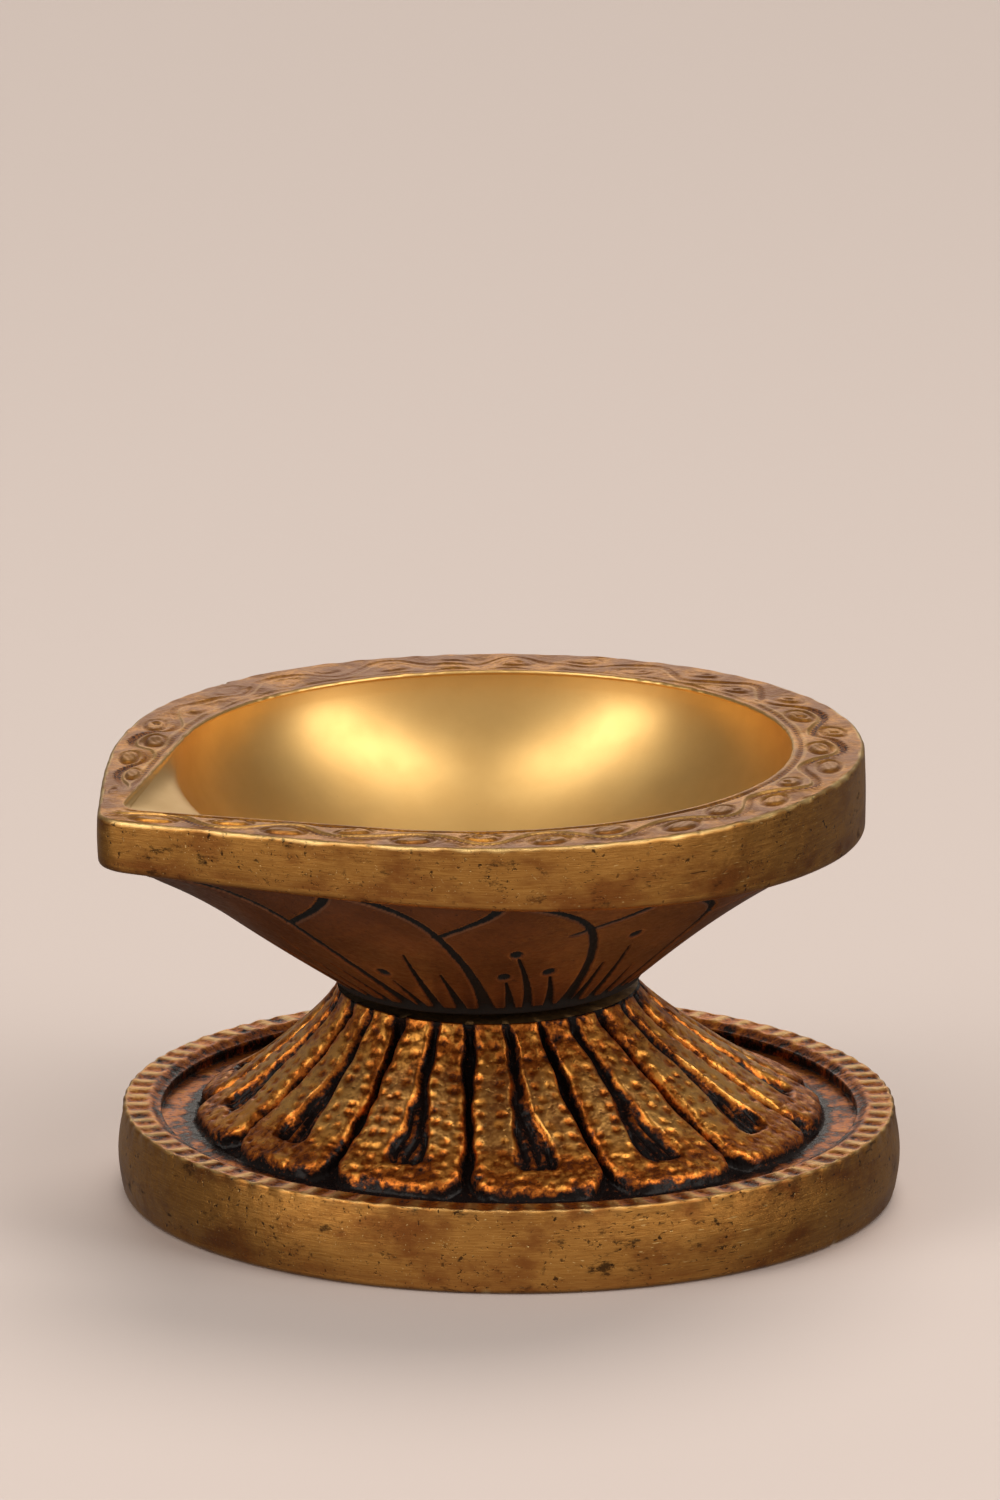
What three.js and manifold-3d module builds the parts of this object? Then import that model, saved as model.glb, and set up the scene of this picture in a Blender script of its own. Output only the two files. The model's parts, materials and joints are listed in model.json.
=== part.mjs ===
// A cast brass oil lamp: a round bowl with a pointed spout, screwed onto a lotus pedestal.
// Millimetres, +Z up. The spout points along -X, and the foot stands on z = 0.

import * as THREE from 'three';
import { mergeVertices } from 'three/addons/utils/BufferGeometryUtils.js';
import Module from 'manifold-3d';

const wasm = await Module();
wasm.setup();

// ---- Driving sizes ----------------------------------------------------------------------

const gap = 0.3; // between faces that rest on each other
const overlap = 1; // how far one shape is sunk into, or cut past, another

// The foot: a flat disc with a beaded top edge and a sunk channel.
const footRadius = 45;
const footHeight = 10;
const footEdge = 0.8; // bevel round the bottom
const footShoulder = 1.2; // bevel that the beads stand on
const bandWidth = 1.7; // plain ring between the beads and the channel
const bandFall = 0.7; // how far that ring slopes down inwards
const channelWidth = 3.9;
const channelDepth = 1.5;
const beadCount = 84;
const beadNotchRadius = 0.8;
const beadLength = 3.2;

// The lotus that rises from the foot to the neck.
const petalCount = 13;
const petalTurn = -6.4; // degrees from the back to the middle of the first petal
const lotusFootHeight = 10; // where the petals' toes stand
const neckRadius = 17.6;
const neckBlend = 2.2; // upright part under the seat
const lotusSag = 0.7; // how far the flare dips below a straight cone
const petalRise = 0.7; // of a petal's raised edge
const petalHollow = 1.1; // depth of a petal's middle
const petalGroove = 2.2; // depth between two petals
const petalEdgeAt = 0.6; // the raised edge, as a share of the half petal

// The hollow under the foot.
const footWall = 7;
const hollowShoulder = 5; // height of its upright wall
const hollowDraft = 1; // how far that wall leans in
const webThickness = 4; // metal between the socket and the hollow

// The seat where the bowl meets the pedestal, square to the screw's own axis.
const seatHeight = 25.4;
const seatShift = 3; // off the foot's axis, towards the spout
const seatDip = 1.3; // degrees that the spout side hangs low
const seatWasherInset = 0.6; // from the neck's nearest edge
const seatWasherThickness = 0.6;

// The bowl. Heights are above the seat.
const bowlBaseRadius = 18.1;
const bowlBaseEdge = 0.7;
const rimRadius = 43.5;
const spoutReach = 53.6; // from the bowl's axis to the spout's tip
const spoutTipRadius = 3;
const bowlHeight = 27.5;
const rimHeight = 8.4; // of the upright band
const rimLip = 2.2; // the band's overhang past the cone
const rimLowEdge = 0.9;
const rimTopEdge = 0.6;
const rimWidth = 8.1; // of the flat top
const spoutRimWidth = 5; // of the flat top at the tip
const borderInset = 1.1; // engraved line round the opening
const borderWidth = 0.8;
const borderDepth = 0.35;
const bowlDepth = 20;
const shelfDepth = 1.6; // of the wick's channel at the tip
const shelfSlope = 12; // degrees that the channel falls inwards

// The screw that joins them.
const threadRadius = 4;
const threadPitch = 1.25;
const threadDepth = 0.62;
const threadClearance = 0.16;
const crestShare = 0.14; // half the ridge's width at its crest, in pitches
const rootShare = 0.4; // and at its root
const spigotRadius = 8.5;
const spigotLength = 6.4;
const socketClearance = 0.4;
const tapFloor = 4.1; // metal left between the tapped hole and the bowl's floor
const studTipGap = 1; // left above the stud in its blind hole
const collarRadius = 7;
const collarThickness = 2;
const collarRoom = 1.3; // between the collar and the spigot
const shankClearance = 0.5;

// What clamps the stud from below.
const clampWasherRadius = 8;
const clampWasherThickness = 1.6;
const lockWasherRadius = 7.1;
const lockWasherThickness = 2;
const lockWasherSlit = 1;
const washerClearance = 0.4;
const nutWidth = 13; // across its flats
const nutHeight = 4;
const studPastNut = 1;
const wrenchRoom = 2.5; // spot face past the nut's corners

// How finely curved shapes are cut into flats.
const discSides = 120;
const boreSides = 36;
const threadSides = 16;
const bowlSides = 80;

// ---- Places worked out from those sizes ---------------------------------------------------

const bowlBase = seatWasherThickness / 2 + gap;
const neckTop = -bowlBase;
const spigotEnd = bowlBase - spigotLength;
const tapEnd = bowlHeight - bowlDepth - tapFloor;
const studTop = tapEnd - studTipGap;
const collarTop = spigotEnd - collarRoom;
const collarBottom = collarTop - collarThickness;
const socketFloor = collarBottom - gap;
const spotFace = socketFloor - webThickness;
const clampWasherTop = spotFace - gap;
const lockWasherTop = clampWasherTop - clampWasherThickness - gap;
const nutTop = lockWasherTop - lockWasherThickness - gap;
const nutBottom = nutTop - nutHeight;
const studBottom = nutBottom - studPastNut;
const socketRadius = spigotRadius + socketClearance;
const boreRadius = threadRadius + shankClearance;
const spotFaceRadius = nutWidth / Math.sqrt(3) + wrenchRoom;
const seatWasherRadius = neckRadius - seatShift - seatWasherInset;
const beadRadius = footRadius - footShoulder;
const bandRadius = beadRadius - beadLength / 2;
const channelRadius = bandRadius - bandWidth;
const channelFloor = footHeight - channelDepth;
const lotusRadius = channelRadius - channelWidth;
const hollowRadius = footRadius - footWall;
const openingRadius = rimRadius - rimWidth;
const openingReach = spoutReach - spoutRimWidth;

// ---- Solids ---------------------------------------------------------------------------------

/** A closed three.js geometry as a solid that can be joined and cut. */
function solid(geometry) {
  const shape = geometry.clone();
  shape.deleteAttribute('normal');
  shape.deleteAttribute('uv');
  const merged = mergeVertices(shape);
  const index = merged.index.array;
  const triangles = [];
  for (let i = 0; i < index.length; i += 3) {
    const [a, b, c] = index.slice(i, i + 3);
    if (a !== b && b !== c && c !== a) {
      triangles.push(a, b, c);
    }
  }
  const vertProperties = new Float32Array(merged.attributes.position.array);
  const triVerts = new Uint32Array(triangles);
  return new wasm.Manifold(new wasm.Mesh({ numProp: 3, vertProperties, triVerts }));
}

/** A named mesh of a solid, in its material. */
function piece(name, shape, material) {
  const { vertProperties, triVerts } = shape.getMesh();
  const geometry = new THREE.BufferGeometry();
  geometry.setAttribute('position', new THREE.BufferAttribute(vertProperties, 3));
  geometry.setIndex(new THREE.BufferAttribute(triVerts, 1));
  geometry.computeVertexNormals();
  const mesh = new THREE.Mesh(geometry, material);
  mesh.name = name;
  return mesh;
}

/** A solid turned about Z from a profile of [radius, height] points, listed upwards. */
function turned(profile, sides) {
  const points = profile.map(([radius, height]) => new THREE.Vector2(radius, height));
  const geometry = new THREE.LatheGeometry(points, sides);
  geometry.rotateX(Math.PI / 2);
  return solid(geometry);
}

/** A round bar about Z. */
function bar(radius, low, high, sides = boreSides) {
  return turned([[0, low], [radius, low], [radius, high], [0, high]], sides);
}

/** A flat ring about Z. */
function ring(outerRadius, innerRadius, low, high, sides = boreSides) {
  const profile = [
    [innerRadius, low],
    [outerRadius, low],
    [outerRadius, high],
    [innerRadius, high],
    [innerRadius, low],
  ];
  return turned(profile, sides);
}

/** A six-sided bar about Z. */
function hexBar(width, low, high) {
  return bar(width / Math.sqrt(3), low, high, 6);
}

/** A solid skinned over rings of points, listed upwards, each anticlockwise from above. */
function skinned(rings) {
  const count = rings[0].length;
  const points = rings.flat();
  const triangles = [];
  for (let row = 0; row + 1 < rings.length; row++) {
    for (let i = 0; i < count; i++) {
      const a = row * count + i;
      const b = row * count + ((i + 1) % count);
      triangles.push(a, b, b + count);
      triangles.push(a, b + count, a + count);
    }
  }
  const bottom = points.length;
  const top = bottom + 1;
  points.push(middle(rings[0]), middle(rings.at(-1)));
  const lastRow = (rings.length - 1) * count;
  for (let i = 0; i < count; i++) {
    const next = (i + 1) % count;
    triangles.push(bottom, next, i);
    triangles.push(top, lastRow + i, lastRow + next);
  }
  const geometry = new THREE.BufferGeometry().setFromPoints(points);
  geometry.setIndex(triangles);
  return solid(geometry);
}

/** The average of a ring's points. */
function middle(points) {
  const sum = new THREE.Vector3();
  for (const point of points) {
    sum.add(point);
  }
  return sum.divideScalar(points.length);
}

/**
 * A right-hand screw thread's ridge about Z, from its root radius out to its crest. Every
 * ridge lies on the one helix that passes X at height 0, so that all threads mate.
 */
function threadRidge(root, crest, low, high, extraWidth) {
  const firstStep = Math.ceil((low / threadPitch) * threadSides);
  const steps = Math.floor((high / threadPitch) * threadSides) - firstStep;
  const geometry = new THREE.BoxGeometry(1, 1, 1, 1, steps, 1);
  const places = geometry.attributes.position;
  for (let i = 0; i < places.count; i++) {
    const outer = places.getX(i) > 0;
    const side = Math.sign(places.getZ(i));
    const turns = (firstStep + Math.round((places.getY(i) + 0.5) * steps)) / threadSides;
    const angle = turns * 2 * Math.PI;
    const halfWidth = threadPitch * (outer ? crestShare : rootShare) + extraWidth;
    const radius = outer ? crest : root;
    const height = turns * threadPitch + side * halfWidth;
    places.setXYZ(i, radius * Math.cos(angle), radius * Math.sin(angle), height);
  }
  return solid(geometry);
}

/** A threaded bar about Z, with a plain end under and over its ridge. */
function threadedBar(low, high) {
  const root = threadRadius - threadDepth;
  const ridge = threadRidge(
    root - threadDepth / 2,
    threadRadius,
    low + threadPitch / 2,
    high - threadPitch / 2,
    0,
  );
  return bar(root, low, high, threadSides).add(ridge);
}

/** What is cut away for a threaded hole about Z that takes the threaded bar. */
function threadedHole(low, high) {
  const root = threadRadius - threadDepth + threadClearance;
  const ridge = threadRidge(
    root - threadDepth / 2,
    threadRadius + threadClearance,
    low - threadPitch,
    high - threadPitch / 2 - threadClearance,
    threadClearance / 2,
  );
  const reach = bar(threadRadius * 2, low - overlap, high);
  return bar(root, low - overlap, high, threadSides).add(ridge.intersect(reach));
}

// ---- The seat's own place ---------------------------------------------------------------------

const seatTilt = -THREE.MathUtils.degToRad(seatDip);

/** A group whose origin is the seat's middle and whose Z is the screw's axis. */
function seatGroup() {
  const group = new THREE.Group();
  group.position.set(-seatShift, 0, seatHeight);
  group.rotation.y = seatTilt;
  return group;
}

/** A solid made about the screw's axis, moved to its place on the foot. */
function atSeat(shape) {
  const group = seatGroup();
  group.updateMatrix();
  return shape.transform(group.matrix.elements);
}

// ---- The pedestal -------------------------------------------------------------------------------

/** The foot's disc, with its channel round the lotus. */
function footDisc() {
  const profile = [
    [0, 0],
    [footRadius - footEdge, 0],
    [footRadius, footEdge],
    [footRadius, footHeight - footShoulder],
    [beadRadius, footHeight],
    [bandRadius, footHeight],
    [channelRadius, footHeight - bandFall],
    [channelRadius, channelFloor],
    [0, channelFloor],
  ];
  return turned(profile, discSides);
}

/** The notches that leave a row of beads on the foot's top edge. */
function beadNotches() {
  const notch = new THREE.CylinderGeometry(beadNotchRadius, beadNotchRadius, beadLength, 6);
  notch.rotateZ(Math.PI / 2);
  notch.translate(footRadius + overlap - beadLength / 2, 0, footHeight);
  const cutter = solid(notch);
  const cutters = [];
  for (let i = 0; i < beadCount; i++) {
    cutters.push(cutter.rotate([0, 0, (i * 360) / beadCount]));
  }
  return wasm.Manifold.union(cutters);
}

/** How far a petal's surface stands out: across is 0 at its middle and 1 at its side. */
function petalRelief(across, along) {
  const toe = THREE.MathUtils.clamp((0.16 - along) / 0.11, 0, 1);
  const fromMiddle = Math.hypot(Math.abs(across) / petalEdgeAt, toe);
  const fade = 1 - 0.7 * THREE.MathUtils.smoothstep(along, 0.7, 1);
  if (fromMiddle < 1) {
    const share = THREE.MathUtils.smoothstep(fromMiddle, 0.35, 1);
    return fade * THREE.MathUtils.lerp(-petalHollow, petalRise, share);
  }
  const share = THREE.MathUtils.smoothstep(fromMiddle, 1, 1 / petalEdgeAt);
  return fade * THREE.MathUtils.lerp(petalRise, -petalGroove, share);
}

/** The lotus: a flare of petals from the neck down to the foot. */
function lotus() {
  const acrossSteps = [-1, -0.84, -0.6, -0.34, 0, 0.34, 0.6, 0.84];
  const alongSteps = [0, 0.05, 0.1, 0.16, 0.24, 0.34, 0.45, 0.56, 0.67, 0.78, 0.89, 1];
  const flareTop = seatHeight - neckBlend;
  const slope = new THREE.Vector2(neckRadius - lotusRadius, flareTop - lotusFootHeight);
  const outward = new THREE.Vector2(slope.y, -slope.x).normalize();
  const firstPetal = THREE.MathUtils.degToRad(petalTurn);
  const ringAt = (along, height) => {
    const points = [];
    for (let petal = 0; petal < petalCount; petal++) {
      for (const across of acrossSteps) {
        const angle = ((petal + across / 2) / petalCount) * 2 * Math.PI + firstPetal;
        const relief = petalRelief(across, along) - lotusSag * Math.sin(along * Math.PI);
        const radius = lotusRadius + slope.x * along + outward.x * relief;
        const rise = height ?? lotusFootHeight + slope.y * along + outward.y * relief;
        points.push(new THREE.Vector3(radius * Math.cos(angle), radius * Math.sin(angle), rise));
      }
    }
    return points;
  };
  const rings = alongSteps.map((along) => ringAt(along));
  rings.unshift(ringAt(0, channelFloor - overlap));
  rings.push(ringAt(1, seatHeight + footHeight));
  return skinned(rings);
}

/** What is cut away under the foot. */
function footHollow() {
  const roof = seatHeight + spotFace;
  const profile = [
    [0, -overlap],
    [hollowRadius, -overlap],
    [hollowRadius - hollowDraft, hollowShoulder],
    [spotFaceRadius + seatShift, roof],
    [0, roof],
  ];
  return turned(profile, discSides / 2);
}

/** The bored socket, spot face and flat top, all square to the screw. */
function seatCuts() {
  const above = bar(footRadius, neckTop, neckTop + footRadius);
  const socket = bar(socketRadius, socketFloor, neckTop + overlap);
  const bore = bar(boreRadius, spotFace - overlap, socketFloor + overlap);
  const spot = bar(spotFaceRadius, spotFace - footRadius, spotFace);
  return wasm.Manifold.union([above, socket, bore, spot]);
}

function pedestal() {
  return footDisc()
    .subtract(beadNotches())
    .add(lotus())
    .subtract(footHollow())
    .subtract(atSeat(seatCuts()));
}

// ---- The bowl -------------------------------------------------------------------------------------

/** Directions round the bowl from the back, closer together at the spout's tip. */
function bowlDirections() {
  const directions = [];
  for (let i = 0; i < bowlSides; i++) {
    directions.push((i / bowlSides) * 2 * Math.PI);
  }
  const tipSpan = spoutTipRadius / spoutReach;
  directions.push(Math.PI - tipSpan / 2, Math.PI + tipSpan / 2);
  directions.push(Math.PI - tipSpan, Math.PI + tipSpan);
  return directions.sort((a, b) => a - b);
}

/** Distance from the bowl's axis to an outline that is a circle drawn out to a rounded tip. */
function outlineRadius(direction, radius, reach, tipRadius) {
  const fromSpout = Math.abs(direction - Math.PI);
  const tipCentre = reach - tipRadius;
  if (tipCentre <= radius - tipRadius) {
    return radius;
  }
  const leaves = Math.acos((radius - tipRadius) / tipCentre);
  const rounds = Math.atan2(
    tipRadius * Math.sin(leaves),
    tipCentre + tipRadius * Math.cos(leaves),
  );
  if (fromSpout >= leaves) {
    return radius;
  }
  if (fromSpout >= rounds) {
    return radius / Math.cos(leaves - fromSpout);
  }
  const aside = tipCentre * Math.sin(fromSpout);
  return tipCentre * Math.cos(fromSpout) + Math.sqrt(tipRadius ** 2 - aside ** 2);
}

/** One ring of the bowl at a height: its radius, and how far it reaches at the spout. */
function outline(height, radius, reach, tipRadius = spoutTipRadius) {
  return bowlDirections().map((direction) => {
    const distance = outlineRadius(direction, radius, reach, tipRadius);
    const x = distance * Math.cos(direction);
    const y = distance * Math.sin(direction);
    return new THREE.Vector3(x, y, height);
  });
}

/** The bowl's outside: a cone that turns from round to pointed, under an upright rim. */
function bowlOutside() {
  const rimLow = bowlHeight - rimHeight;
  const coneTop = rimRadius - rimLip;
  const coneReach = spoutReach - rimLip;
  const coneBase = bowlBase + bowlBaseEdge;
  const rings = [
    outline(bowlBase, bowlBaseRadius - bowlBaseEdge, bowlBaseRadius - bowlBaseEdge),
  ];
  const coneSteps = 4;
  for (let step = 0; step <= coneSteps; step++) {
    const share = step / coneSteps;
    const height = THREE.MathUtils.lerp(coneBase, rimLow, share);
    const radius = THREE.MathUtils.lerp(bowlBaseRadius, coneTop, share);
    const reach = THREE.MathUtils.lerp(bowlBaseRadius, coneReach, share);
    rings.push(outline(height, radius, reach));
  }
  const inset = (height, distance) =>
    outline(height, rimRadius - distance, spoutReach - distance);
  rings.push(inset(rimLow, rimLowEdge));
  rings.push(inset(rimLow + rimLowEdge, rimLowEdge / 4));
  rings.push(inset(bowlHeight - rimTopEdge, 0));
  rings.push(inset(bowlHeight, rimTopEdge));
  return skinned(rings);
}

/** The bowl's inside: a deep round hollow with a shallow channel out to the spout. */
function bowlInside() {
  const floor = bowlHeight - bowlDepth;
  const fall = Math.tan(THREE.MathUtils.degToRad(shelfSlope));
  const depths = [0.99, 0.94, 0.84, 0.7, 0.53, 0.36, 0.22];
  const rings = depths.map((share) => {
    const depth = bowlDepth * share;
    const radius = openingRadius * Math.sqrt(1 - share ** 2);
    const shelfReach = openingReach - (depth - shelfDepth) / fall;
    const reach = Math.max(radius, shelfReach);
    return outline(bowlHeight - depth, radius, reach);
  });
  rings.unshift(outline(floor, openingRadius / 40, openingRadius / 40));
  const shelfRadius = openingRadius * Math.sqrt(1 - (shelfDepth / bowlDepth) ** 2);
  rings.push(outline(bowlHeight - shelfDepth, shelfRadius, openingReach - shelfDepth / 2));
  rings.push(outline(bowlHeight, openingRadius, openingReach));
  rings.push(outline(bowlHeight + overlap, openingRadius, openingReach));
  return skinned(rings);
}

/** The engraved line round the opening. */
function borderLine() {
  const low = bowlHeight - borderDepth;
  const high = bowlHeight + overlap;
  const wide = (height, by) => outline(height, openingRadius + by, openingReach + by);
  const outer = borderInset + borderWidth;
  const filled = skinned([wide(low, outer), wide(high, outer)]);
  return filled.subtract(
    skinned([wide(low - overlap, borderInset), wide(high + overlap, borderInset)]),
  );
}

/** The stub that enters the pedestal's socket. */
function spigot() {
  const bevel = bowlBaseEdge;
  const profile = [
    [0, spigotEnd],
    [spigotRadius - bevel, spigotEnd],
    [spigotRadius, spigotEnd + bevel],
    [spigotRadius, bowlBase + overlap],
    [0, bowlBase + overlap],
  ];
  return turned(profile, boreSides);
}

function bowl() {
  return bowlOutside()
    .subtract(bowlInside())
    .subtract(borderLine())
    .add(spigot())
    .subtract(threadedHole(spigotEnd, tapEnd));
}

// ---- The stud and what holds it --------------------------------------------------------------------

/** Threaded at both ends, with a six-sided collar that rests on the socket's floor. */
function centerStud() {
  const upper = threadedBar(collarTop - overlap / 2, studTop);
  const collar = hexBar(collarRadius * Math.sqrt(3), collarBottom, collarTop);
  const shank = bar(threadRadius, spotFace, collarBottom + overlap, threadSides);
  const lower = threadedBar(studBottom, spotFace + overlap);
  return wasm.Manifold.union([upper, collar, shank, lower]);
}

function seatWasher() {
  const half = seatWasherThickness / 2;
  const inner = socketRadius + socketClearance;
  return ring(seatWasherRadius, inner, -half, half);
}

function clampWasher() {
  const inner = threadRadius + washerClearance;
  return ring(clampWasherRadius, inner, clampWasherTop - clampWasherThickness, clampWasherTop);
}

/** A spring washer, split by a slanted slit. */
function lockWasher() {
  const inner = threadRadius + washerClearance;
  const low = lockWasherTop - lockWasherThickness;
  const slit = new THREE.BoxGeometry(lockWasherRadius, lockWasherSlit, lockWasherThickness * 3);
  slit.rotateX(Math.PI / 6);
  slit.translate(threadRadius + lockWasherRadius / 2, 0, low + lockWasherThickness / 2);
  return ring(lockWasherRadius, inner, low, lockWasherTop).subtract(solid(slit));
}

/** A thin nut, its corners rounded off by a cone at each end. */
function hexNut() {
  const corner = nutWidth / Math.sqrt(3);
  const bevel = (corner - nutWidth / 2) / 2;
  const rounded = turned(
    [
      [0, nutBottom],
      [nutWidth / 2, nutBottom],
      [corner, nutBottom + bevel],
      [corner, nutTop - bevel],
      [nutWidth / 2, nutTop],
      [0, nutTop],
    ],
    boreSides,
  );
  const flats = hexBar(nutWidth, nutBottom - overlap, nutTop + overlap);
  return rounded.intersect(flats).subtract(threadedHole(nutBottom, nutTop + threadPitch));
}

// ---- Materials ------------------------------------------------------------------------------------

const metal = (color, roughness) =>
  new THREE.MeshStandardMaterial({ color, roughness, metalness: 1 });

const bowlBrass = metal(0xb98a42, 0.32);
const pedestalBrass = metal(0x9a6a2c, 0.42);
const studSteel = metal(0x8d9095, 0.38);
const washerSteel = metal(0xa3a6aa, 0.34);
const springSteel = metal(0x6f7276, 0.4);
const nutSteel = metal(0x9a9da1, 0.36);
const fibre = new THREE.MeshStandardMaterial({ color: 0x17130f, roughness: 0.9, metalness: 0 });

// ---- The lamp ---------------------------------------------------------------------------------------

const onSeat = seatGroup();
onSeat.add(piece('bowl', bowl(), bowlBrass));
onSeat.add(piece('seat_washer', seatWasher(), fibre));
onSeat.add(piece('center_stud', centerStud(), studSteel));
onSeat.add(piece('clamp_washer', clampWasher(), washerSteel));
onSeat.add(piece('lock_washer', lockWasher(), springSteel));
onSeat.add(piece('hex_nut', hexNut(), nutSteel));

const standing = new THREE.Group();
standing.add(piece('pedestal', pedestal(), pedestalBrass), onSeat);

// The origin is the middle of the whole lamp's box, on the table.
const box = new THREE.Box3().setFromObject(standing, true);
const centre = box.getCenter(new THREE.Vector3());
standing.position.set(-centre.x, -centre.y, 0);

const lamp = new THREE.Group();
lamp.add(standing);

export default lamp;
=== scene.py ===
"""A cast brass oil lamp: a spouted bowl screwed onto a lotus pedestal.

Metres, +Z up. The spout points along -X. Sizes are the maker's own, in millimetres times MM.
"""
from __future__ import annotations

import json
import logging
import math
from dataclasses import dataclass, field
from enum import Enum

import bpy
import numpy as np
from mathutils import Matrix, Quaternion, Vector


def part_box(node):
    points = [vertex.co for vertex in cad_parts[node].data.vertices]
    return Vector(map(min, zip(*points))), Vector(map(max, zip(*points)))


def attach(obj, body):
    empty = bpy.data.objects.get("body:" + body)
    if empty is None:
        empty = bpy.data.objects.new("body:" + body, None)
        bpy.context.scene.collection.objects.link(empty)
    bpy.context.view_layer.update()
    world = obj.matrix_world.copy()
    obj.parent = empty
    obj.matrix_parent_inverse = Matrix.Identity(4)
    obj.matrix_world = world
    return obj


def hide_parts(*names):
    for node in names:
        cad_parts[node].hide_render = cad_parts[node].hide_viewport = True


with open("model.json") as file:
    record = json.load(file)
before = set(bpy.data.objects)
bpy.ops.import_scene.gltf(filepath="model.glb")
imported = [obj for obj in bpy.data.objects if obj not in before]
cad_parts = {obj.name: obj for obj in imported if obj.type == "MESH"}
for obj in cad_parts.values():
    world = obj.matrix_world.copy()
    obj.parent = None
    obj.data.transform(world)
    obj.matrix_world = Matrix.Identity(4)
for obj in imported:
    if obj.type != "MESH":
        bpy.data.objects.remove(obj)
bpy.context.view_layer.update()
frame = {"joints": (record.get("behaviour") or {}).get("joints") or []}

MM = 0.001
TURN = 2 * math.pi
LOG = logging.getLogger("lamp")

Array = np.ndarray
Colour = tuple[float, float, float]


# ---- Numbers ------------------------------------------------------------------------------------


def smooth(value: Array | float, low: float, high: float) -> Array | float:
    """Ease from 0 at low to 1 at high.

    Args:
        value: What is compared with the two ends.
        low: Where the result leaves 0. It may be above high.
        high: Where the result reaches 1.

    Returns:
        The eased share, with the shape of value.
    """
    share = np.clip((value - low) / (high - low), 0.0, 1.0)
    return share * share * (3 - 2 * share)


def ripple(angle: Array, seed: int, waves: tuple[int, int], count: int = 12) -> Array:
    """A smooth uneven curve that closes on itself round a full turn.

    Args:
        angle: Directions in radians.
        seed: Which of the many such curves to take.
        waves: The fewest and the most waves in a turn.
        count: How many waves are added up.

    Returns:
        Values mostly between -1 and 1.
    """
    pick = np.random.default_rng(seed)
    total = np.zeros_like(angle)
    for number in pick.integers(waves[0], waves[1] + 1, count):
        total += np.cos(number * angle + pick.uniform(0, TURN)) * pick.uniform(0.4, 1.0)
    return total / math.sqrt(count)


def curve_through(knots: list[tuple[float, float]], step: float) -> Array:
    """Points a steady step apart along a smooth curve.

    Args:
        knots: The points that the curve passes, in order.
        step: The distance between the points given back.

    Returns:
        An array of points, two numbers each.
    """
    ends = np.array([knots[0], *knots, knots[-1]], float)
    fine = []
    for before, start, end, after in zip(ends, ends[1:], ends[2:], ends[3:]):
        share = np.linspace(0, 1, 60, endpoint=False)[:, None]
        leave, arrive = (end - before) / 2, (after - start) / 2
        bend = 3 * (end - start) - 2 * leave - arrive
        twist = 2 * (start - end) + leave + arrive
        fine.append(start + leave * share + bend * share**2 + twist * share**3)
    fine.append(ends[-1][None])
    path = np.concatenate(fine)
    along = np.concatenate([[0], np.cumsum(np.linalg.norm(np.diff(path, axis=0), axis=1))])
    stations = np.linspace(0, along[-1], max(2, round(along[-1] / step) + 1))
    return np.stack([np.interp(stations, along, path[:, i]) for i in range(2)], axis=1)


def rounded_box(across: Array, beyond: Array, corner: float) -> Array:
    """Distance inside a strip that ends in a rounded end, and negative outside it.

    Args:
        across: How far each point is past the strip's side, negative inside.
        beyond: How far each point is past the strip's end, negative inside.
        corner: The radius of the corners between side and end.

    Returns:
        The distance in from the strip's edge.
    """
    side, end = across + corner, beyond + corner
    outside = np.hypot(np.maximum(side, 0), np.maximum(end, 0))
    return corner - outside - np.minimum(np.maximum(side, end), 0)


# ---- Meshes -------------------------------------------------------------------------------------


class Ends(Enum):
    """How a skin's first and last rows are closed."""

    POINTS = "points"
    JOINED = "joined"


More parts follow.
